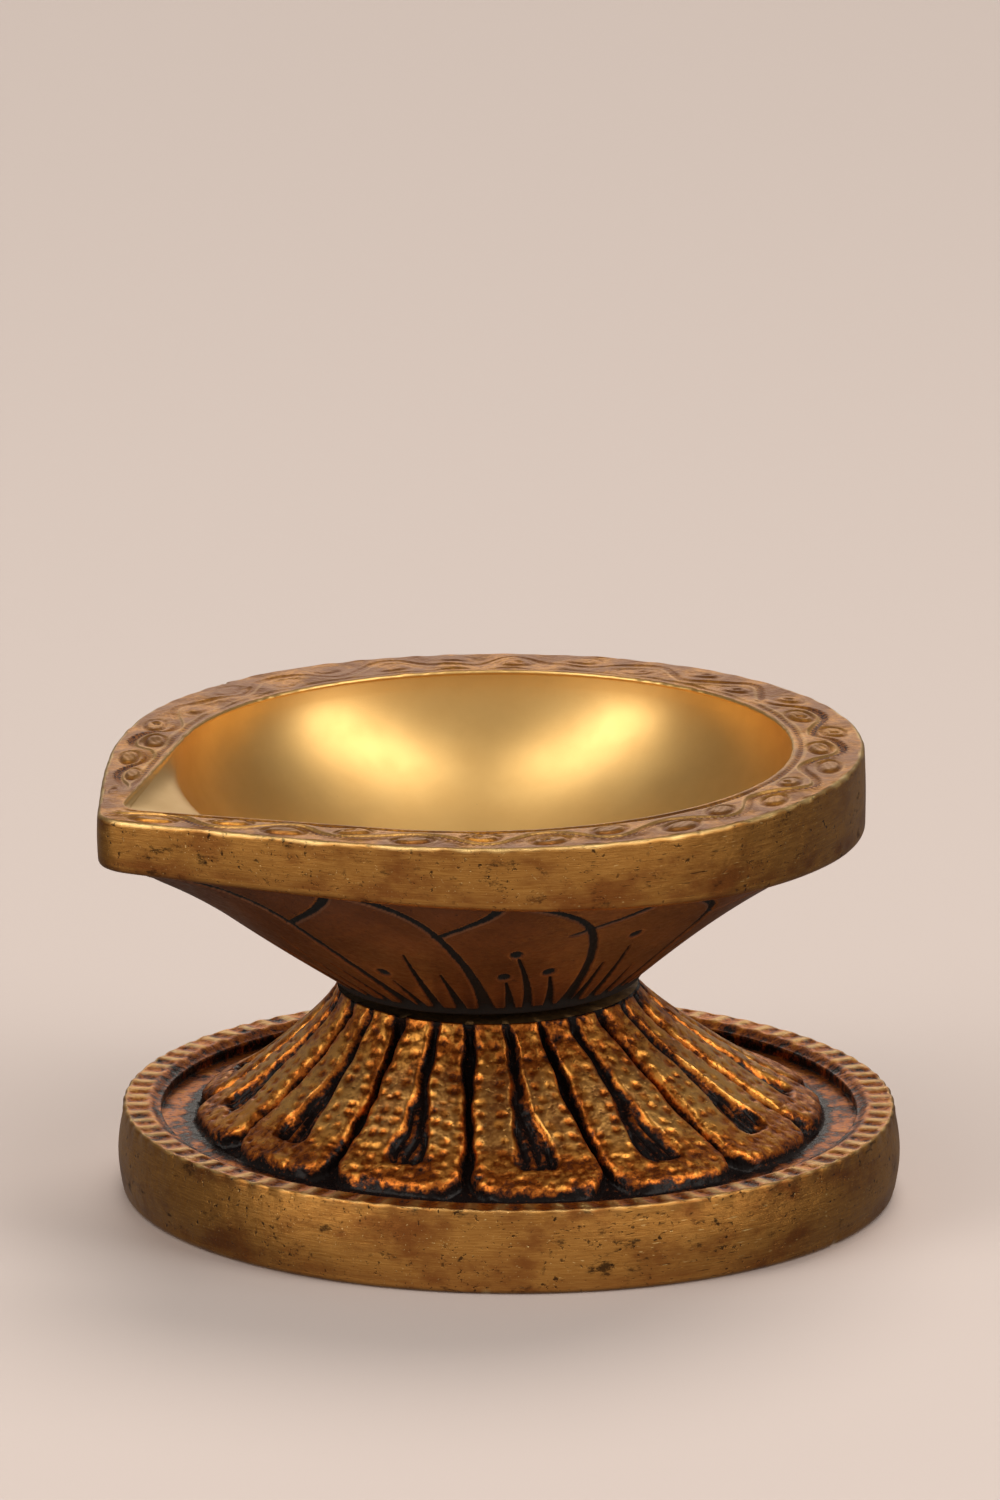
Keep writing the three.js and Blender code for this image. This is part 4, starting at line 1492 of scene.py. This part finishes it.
    def _engraving(
        self, phase: Array, wave: float, across: Array, width: Array
    ) -> tuple[Array, Array, Array, Array]:
        """The vine and its leaves on one row of the rim's top.

        Args:
            phase: The columns' places along the vine, in waves.
            wave: The length of one wave.
            across: Their distances from the middle of the rim, outwards.
            width: How wide the rim is there.

        Returns:
            The dark share, the depth of the cut as a share, the swell of the metal in metres,
            and the share of painted highlight beside the cuts.
        """
        room = np.clip(width / self.rim_width, 0.4, 1.05)
        swing = self.vine_swing * room * (1 + 0.2 * np.sin(phase * 2.3))
        turn = phase * TURN
        slope = swing * TURN / wave * np.cos(turn)
        off_vine = (across - 0.15 * MM - swing * np.sin(turn)) / np.hypot(1, slope)
        teeth = 0.16 * MM * np.cos(phase * wave / (0.7 * MM) * TURN + off_vine / (0.4 * MM))
        groove = smooth(np.abs(off_vine), 0.62 * MM, 0.25 * MM)
        dark = smooth(np.abs(off_vine - 0.22 * MM) + teeth, 0.62 * MM, 0.3 * MM)
        patchy = 0.45 + 0.55 * smooth(np.sin(turn + 0.9) + 0.5 * np.sin(phase * 1.7), -0.4, 0.5)
        dark = dark * patchy
        # A painted highlight along one lip of the vine's groove.
        lit = smooth(np.abs(off_vine + 0.5 * MM), 0.34 * MM, 0.12 * MM)
        half = np.floor(phase * 2)
        along = (phase * 2 - half - 0.5) * wave / 2
        side = np.where(half % 2 == 0, -1.0, 1.0)
        leaf_across = across - 0.15 * MM - side * (1.15 * MM + 0.1 * MM * side) * room
        lean = along + leaf_across * 0.35
        leaf = np.hypot(lean / (2.15 * MM), leaf_across / (1.5 * MM * room))
        outline = smooth(np.abs(leaf - 1), 0.26, 0.1)
        hatch = 0.5 + 0.5 * np.cos((lean * 0.8 + leaf_across * 1.1) / (0.17 * MM))
        hatch = hatch * smooth(leaf, 0.9, 0.6) * 0.4
        pupil = smooth(np.hypot(lean + 0.5 * MM, leaf_across) / (0.6 * MM), 1.1, 0.6)
        pick = np.random.default_rng(77).uniform(0, 1, 2 * self.vine_waves + 2)
        chosen = pick[half.astype(int) % len(pick)]
        pupil = pupil * (chosen > 0.45)
        ink = np.maximum(dark, np.maximum(outline * 0.42, np.maximum(pupil * 0.95, hatch)))
        sunk = np.maximum(groove, np.maximum(outline * 0.5, pupil * 0.9))
        border = across + width / 2 - 0.75 * MM
        beading = 0.5 + 0.5 * np.cos(phase * wave / (0.9 * MM) * TURN)
        line = smooth(np.abs(border), 0.42 * MM, 0.16 * MM)
        ink = np.maximum(ink, line * (0.3 + 0.45 * beading))
        sunk = np.maximum(sunk, line * 0.7)
        # Painted highlights beside the border line and round the leaves.
        lit = np.maximum(lit, smooth(np.abs(border - 0.55 * MM), 0.3 * MM, 0.1 * MM) * 0.6)
        lit = np.maximum(lit, smooth(np.abs(leaf - 1.25), 0.22, 0.08) * 0.3)
        swell = 0.24 * MM * smooth(leaf, 1.15, 0.5)
        swell = swell + 0.08 * MM * smooth(np.abs(off_vine), 1.5 * MM, 0.7 * MM)
        fade = smooth(width, 3.2 * MM, 4.6 * MM)
        return ink * fade, sunk * fade, swell * fade, lit * fade

    def _inside(self) -> None:
        """The polished hollow, with the shallow channel that the wick lies in."""
        fall = math.tan(self.shelf_slope)
        lip = ripple(self.angle, 17, (40, 150), 20)
        for turn in np.linspace(0.25, math.pi / 2, 4):
            inset = 0.3 * MM * math.sin(turn)
            sink = 0.3 * MM * (1 - math.cos(turn))
            self._row(
                self._opening(inset) + 0.05 * MM * lip,
                self.height - sink - 0.02 * MM,
                BowlFinish.INSIDE,
            )
        shares = np.concatenate(
            [np.linspace(0.025, self.shelf_depth / self.depth, 5), np.linspace(0.09, 0.998, 56)]
        )
        for share in shares:
            depth = self.depth * share
            radius = self.opening_radius * math.sqrt(1 - share**2)
            inset = 0.3 * MM + min(depth / self.shelf_depth, 1) * 0.8 * MM
            below = max(depth - self.shelf_depth, 0)
            shelf = max(self.opening_reach - inset - below / fall, 0.0)
            reach = (radius**self.blend + shelf**self.blend) ** (1 / self.blend)
            reach = min(reach, self.opening_reach - inset)
            tip = min(self.tip_radius * 0.8 + below * 2.2, radius * 0.95)
            distance = self._outline(radius, reach, tip, self.opening_turn)
            self._row(distance, self.height - depth, BowlFinish.INSIDE)


# ---- The screw and what clamps it ---------------------------------------------------------------


@dataclass
class Fastening:
    """The stud, its washers and its nut, and the washer under the bowl."""

    seat: Seat
    thread: Thread
    columns: int = 96
    stud_top: float = 2.4 * MM
    collar_top: float = -7.1 * MM
    collar_bottom: float = -9.1 * MM
    collar_radius: float = 7 * MM
    web_low: float = -13.4 * MM
    stud_bottom: float = -22.9 * MM
    gap: float = 0.3 * MM  # between clamped faces
    clamp_radius: float = 8 * MM
    clamp_thickness: float = 1.6 * MM
    lock_radius: float = 7.1 * MM
    lock_thickness: float = 2 * MM
    lock_slit: float = 1.1 * MM
    washer_hole: float = 4.4 * MM
    nut_width: float = 13 * MM
    nut_height: float = 4 * MM
    seat_washer_outer: float = 14 * MM
    seat_washer_inner: float = 9.3 * MM
    seat_washer_thickness: float = 0.6 * MM

    def __post_init__(self) -> None:
        """Set out the columns and stack the clamped pieces under the web."""
        self.angle = np.arange(self.columns) * TURN / self.columns
        self.clamp_top = self.web_low - self.gap
        self.lock_top = self.clamp_top - self.clamp_thickness - self.gap
        self.nut_top = self.lock_top - self.lock_thickness - self.gap

    def build(self) -> list[bpy.types.Object]:
        """Make every piece of the fastening.

        Returns:
            The pieces.
        """
        return [
            self.stud(),
            self.clamp_washer(),
            self.lock_washer(),
            self.nut(),
            self.seat_washer(),
        ]

    def _hex(self, width: float) -> Array:
        """A hexagon's distances from its middle, corners on the first column."""
        side = (self.angle % (math.pi / 3)) - math.pi / 6
        return width / 2 / np.cos(side)

    def _plain_ring(self, outer: float, inner: float, low: float, high: float) -> Skin:
        """A washer with slightly rounded edges.

        Args:
            outer: Its outer radius.
            inner: Its hole's radius.
            low: The height of its lower face, above the seat.
            high: The height of its upper face, above the seat.

        Returns:
            The washer's skin.
        """
        edge = min(0.15 * MM, (high - low) / 4)
        corners = [
            (inner, low + edge),
            (inner + edge, low),
            (outer - edge, low),
            (outer - edge * 0.3, low + edge * 0.3),
            (outer, low + edge),
            (outer, high - edge),
            (outer - edge * 0.3, high - edge * 0.3),
            (outer - edge, high),
            (inner + edge, high),
            (inner, high - edge),
        ]
        skin = Skin()
        for radius, height in corners:
            skin.add(self.seat.ring(self.angle, radius, height))
        return skin

    def stud(self) -> bpy.types.Object:
        """The double-ended stud with its six-sided collar.

        Returns:
            The piece.
        """
        skin = Skin()
        angle, thread = self.angle, self.thread
        root = thread.radius - thread.depth

        def add(radius: Array | float, height: float) -> None:
            """Put one row of the stud on its skin."""
            skin.add(self.seat.ring(angle, radius, height))

        add(0.8 * MM, self.stud_bottom)
        add(root - 0.3 * MM, self.stud_bottom)
        for height in thread.heights(self.stud_bottom + 0.3 * MM, self.web_low + 0.6 * MM):
            add(thread.outer(angle, height), height)
        add(thread.radius, self.web_low + 0.9 * MM)
        add(thread.radius, self.collar_bottom - 0.1 * MM)
        hexagon = self._hex(self.collar_radius * math.sqrt(3))
        bevel = np.minimum(hexagon, self.collar_radius - 0.35 * MM)
        add(thread.radius + 0.1 * MM, self.collar_bottom)
        add(bevel - 0.3 * MM, self.collar_bottom)
        add(bevel, self.collar_bottom + 0.12 * MM)
        add(hexagon, self.collar_bottom + 0.35 * MM)
        add(hexagon, self.collar_top - 0.35 * MM)
        add(bevel, self.collar_top - 0.12 * MM)
        add(bevel - 0.3 * MM, self.collar_top)
        add(root + 0.1 * MM, self.collar_top)
        add(root, self.collar_top + 0.1 * MM)
        for height in thread.heights(self.collar_top + 0.5 * MM, self.stud_top - 0.4 * MM):
            add(thread.outer(angle, height), height)
        add(root - 0.3 * MM, self.stud_top)
        add(0.8 * MM, self.stud_top)
        piece = skin.build("threaded_stud", Ends.POINTS)
        dress(piece, "pedestal", "center_stud", [STUD_STEEL])
        return piece

    def clamp_washer(self) -> bpy.types.Object:
        """The flat washer against the foot's spot face.

        Returns:
            The piece.
        """
        low = self.clamp_top - self.clamp_thickness
        skin = self._plain_ring(self.clamp_radius, self.washer_hole, low, self.clamp_top)
        piece = skin.build("flat_washer", Ends.JOINED)
        dress(piece, "pedestal", "clamp_washer", [WASHER_STEEL])
        return piece

    def lock_washer(self) -> bpy.types.Object:
        """The split spring washer: a square wire bent round, its ends cut on a slant.

        Returns:
            The piece.
        """
        skin = Skin()
        high = self.lock_top
        low = high - self.lock_thickness
        edge = 0.2 * MM
        inner, outer = self.washer_hole, self.lock_radius
        section = [
            (outer - edge, low),
            (outer, low + edge),
            (outer, high - edge),
            (outer - edge, high),
            (inner + edge, high),
            (inner, high - edge),
            (inner, low + edge),
            (inner + edge, low),
        ]
        radius = np.array([corner[0] for corner in section])
        height = np.array([corner[1] for corner in section])
        slant = (height - (low + high) / 2) * math.tan(math.radians(30))
        for share in np.linspace(0, 1, 90):
            half = (self.lock_slit / 2 + slant * (1 if share < 0.5 else -1)) / radius
            turn = half + (TURN - 2 * half) * share
            nudge = 0.06 * MM * (share - 0.5)
            skin.add(
                self.seat.place(
                    radius * np.cos(turn), radius * np.sin(turn), height + nudge
                )[::-1]
            )
        piece = skin.build("spring_washer", Ends.POINTS)
        dress(piece, "pedestal", "lock_washer", [SPRING_STEEL])
        return piece

    def nut(self) -> bpy.types.Object:
        """The thin nut, its corners rounded off above and below.

        Returns:
            The piece.
        """
        skin = Skin()
        high = self.nut_top
        low = high - self.nut_height
        hexagon = self._hex(self.nut_width)
        thread = self.thread
        flat = self.nut_width / 2
        cone = [(0.0, 0.0), (0.35, 0.2), (0.7, 0.42), (1.0, 0.7)]
        for out, up in cone:
            skin.add(
                self.seat.ring(
                    self.angle, np.minimum(hexagon, flat * (1 + 0.155 * out)), low + up * MM
                )
            )
        for out, up in cone[::-1]:
            skin.add(
                self.seat.ring(
                    self.angle, np.minimum(hexagon, flat * (1 + 0.155 * out)), high - up * MM
                )
            )
        skin.add(self.seat.ring(self.angle, thread.radius + 0.5 * MM, high))
        for height in thread.heights(low + 0.35 * MM, high - 0.35 * MM)[::-1]:
            skin.add(self.seat.ring(self.angle, thread.inner(self.angle, height), height))
        skin.add(self.seat.ring(self.angle, thread.radius + 0.5 * MM, low))
        piece = skin.build("thin_nut", Ends.JOINED)
        dress(piece, "pedestal", "hex_nut", [NUT_STEEL])
        return piece

    def seat_washer(self) -> bpy.types.Object:
        """The thin fibre ring that shows as a black line under the bowl.

        Returns:
            The piece.
        """
        half = self.seat_washer_thickness / 2
        skin = self._plain_ring(self.seat_washer_outer, self.seat_washer_inner, -half, half)
        piece = skin.build("fibre_washer", Ends.JOINED)
        dress(piece, "seat", "seat_washer", [OiledFibre()])
        return piece


# ---- The studio ---------------------------------------------------------------------------------


@dataclass(frozen=True)
class Softbox:
    """A soft light: degrees round from the camera's direction and up, distance, size, watts."""

    name: str
    turn: float
    rise: float
    distance: float
    size: tuple[float, float]
    watts: float
    colour: Colour = (1.0, 0.94, 0.86)


SOFTBOXES = (
    Softbox("window_left", -60, 46, 1.40, (0.50, 1.90), 11.5),
    Softbox("window_right", 63, 46, 1.40, (0.50, 1.90), 13.0),
    Softbox("far_wall", 180, 17, 1.40, (0.75, 0.40), 1.15),
    Softbox("ceiling", 180, 78, 1.20, (0.6, 0.5), 0.6),
)


@dataclass
class Studio:
    """A pale floor, soft lights and the camera."""

    target: Vector
    camera_direction: float = math.radians(236.87)
    camera_rise: float = math.radians(15.33)
    camera_distance: float = 1.5
    lens: float = 309.8  # in millimetres, as the film's height is
    film_height: float = 36.0
    lift: float = 26.40 * MM  # how far above the target the camera looks
    aside: float = 1.26 * MM  # and how far to its left
    roll: float = math.radians(0.295)
    floor_colour: Colour = (0.50, 0.445, 0.43)
    floor_roughness: float = 0.75
    floor_reach: float = 4.0
    air_colour: Colour = (1.0, 0.90, 0.80)
    air_fall: float = math.radians(-20)  # rise of the room's brightest direction
    # Where between the darkest direction and the brightest, and how bright it is there.
    air_levels: tuple[tuple[float, float], ...] = (
        (0.0, 0.22),
        (0.30, 0.16),
        (0.55, 0.17),
        (0.82, 0.5),
        (1.0, 0.62),
    )
    sky_strength: float = 2.2
    sky_spread: float = math.radians(34)
    sky_turn: float = math.radians(168)  # from the camera's direction
    sky_rise: float = math.radians(54)

    def build(self) -> None:
        """Set up everything that isn't the lamp."""
        bpy.context.scene.view_settings.view_transform = "Standard"
        self._camera()
        self._floor()
        self._air()
        for softbox in SOFTBOXES:
            self._hang(softbox)
        self._skylight()

    def _skylight(self) -> None:
        """A wide, even light from high behind the lamp, which reaches the far floor."""
        data = bpy.data.lights.new("skylight", "SUN")
        data.energy = self.sky_strength
        data.angle = self.sky_spread
        data.color = self.air_colour
        light = bpy.data.objects.new("skylight", data)
        direction = self._towards(self.camera_direction + self.sky_turn, self.sky_rise)
        light.rotation_euler = (-direction).to_track_quat("-Z", "Y").to_euler()
        light.visible_glossy = False
        bpy.context.scene.collection.objects.link(light)

    def _towards(self, direction: float, rise: float) -> Vector:
        """A unit vector from the lamp towards a direction and a rise."""
        flat = math.cos(rise)
        return Vector((flat * math.cos(direction), flat * math.sin(direction), math.sin(rise)))

    def _camera(self) -> None:
        """A long lens at the maker's eye, with the lamp low in the frame."""
        data = bpy.data.cameras.new("eye")
        data.sensor_fit = "VERTICAL"
        data.sensor_height = self.film_height
        data.lens = self.lens
        camera = bpy.data.objects.new("eye", data)
        back = self._towards(self.camera_direction, self.camera_rise)
        up = self._towards(self.camera_direction + math.pi, math.pi / 2 - self.camera_rise)
        right = up.cross(back)
        aim = self.target + up * self.lift - right * self.aside
        camera.location = self.target + back * self.camera_distance
        look = (aim - camera.location).to_track_quat("-Z", "Y")
        camera.rotation_mode = "QUATERNION"
        camera.rotation_quaternion = look @ Quaternion((0, 0, 1), self.roll)
        bpy.context.scene.collection.objects.link(camera)
        bpy.context.scene.camera = camera

    def _floor(self) -> None:
        """A pale matt floor."""
        mesh = bpy.data.meshes.new("floor")
        reach = self.floor_reach
        corners = [(-reach, -reach, 0), (reach, -reach, 0), (reach, reach, 0), (-reach, reach, 0)]
        mesh.from_pydata(corners, [], [(0, 1, 2, 3)])
        floor = bpy.data.objects.new("floor", mesh)
        shader = Shader("floor_paper")
        shader.set(Base_Color=self.floor_colour, Roughness=self.floor_roughness)
        mesh.materials.append(shader.material)
        floor.visible_glossy = False
        bpy.context.scene.collection.objects.link(floor)

    def _air(self) -> None:
        """The room: light in front of the lamp, dim beside and behind it."""
        world = bpy.data.worlds.new("room")
        bpy.context.scene.world = world
        world.use_nodes = True
        tree = world.node_tree
        background = tree.nodes["Background"]
        place = tree.nodes.new("ShaderNodeTexCoord").outputs["Generated"]
        facing = tree.nodes.new("ShaderNodeVectorMath")
        facing.operation = "DOT_PRODUCT"
        tree.links.new(place, facing.inputs[0])
        facing.inputs[1].default_value = self._towards(self.camera_direction, self.air_fall)
        share = tree.nodes.new("ShaderNodeMapRange")
        share.inputs["From Min"].default_value = -1
        tree.links.new(facing.outputs["Value"], share.inputs["Value"])
        ramp = tree.nodes.new("ShaderNodeValToRGB")
        ramp.color_ramp.interpolation = "EASE"
        tree.links.new(share.outputs["Result"], ramp.inputs["Fac"])
        stops = ramp.color_ramp.elements
        stops[0].position, stops[1].position = 0.0, 1.0
        for where, level in self.air_levels:
            stop = stops[0] if where == 0.0 else stops[-1] if where == 1.0 else stops.new(where)
            stop.color = (*(level * part for part in self.air_colour), 1)
        tree.links.new(ramp.outputs["Color"], background.inputs["Color"])

    def _hang(self, softbox: Softbox) -> None:
        """Hang one soft light so that it faces the lamp.

        Args:
            softbox: The light.
        """
        data = bpy.data.lights.new(softbox.name, "AREA")
        data.shape = "RECTANGLE"
        data.size, data.size_y = softbox.size
        data.energy = softbox.watts
        data.color = softbox.colour
        light = bpy.data.objects.new(softbox.name, data)
        turn = self.camera_direction + math.radians(softbox.turn)
        direction = self._towards(turn, math.radians(softbox.rise))
        light.location = self.target + direction * softbox.distance
        light.rotation_euler = (-direction).to_track_quat("-Z", "Y").to_euler()
        bpy.context.scene.collection.objects.link(light)


def main() -> None:
    """Build the lamp, then the studio round it."""
    logging.basicConfig(level=logging.INFO, format="%(message)s")
    seat = Seat.from_frame()
    thread = Thread()
    pedestal = Pedestal(seat)
    pedestal.build()
    Fastening(seat, thread).build()
    Bowl(seat, thread).build()
    Studio(Vector((pedestal.axis_x, 0, 25 * MM))).build()


if __name__ == "__main__":
    main()
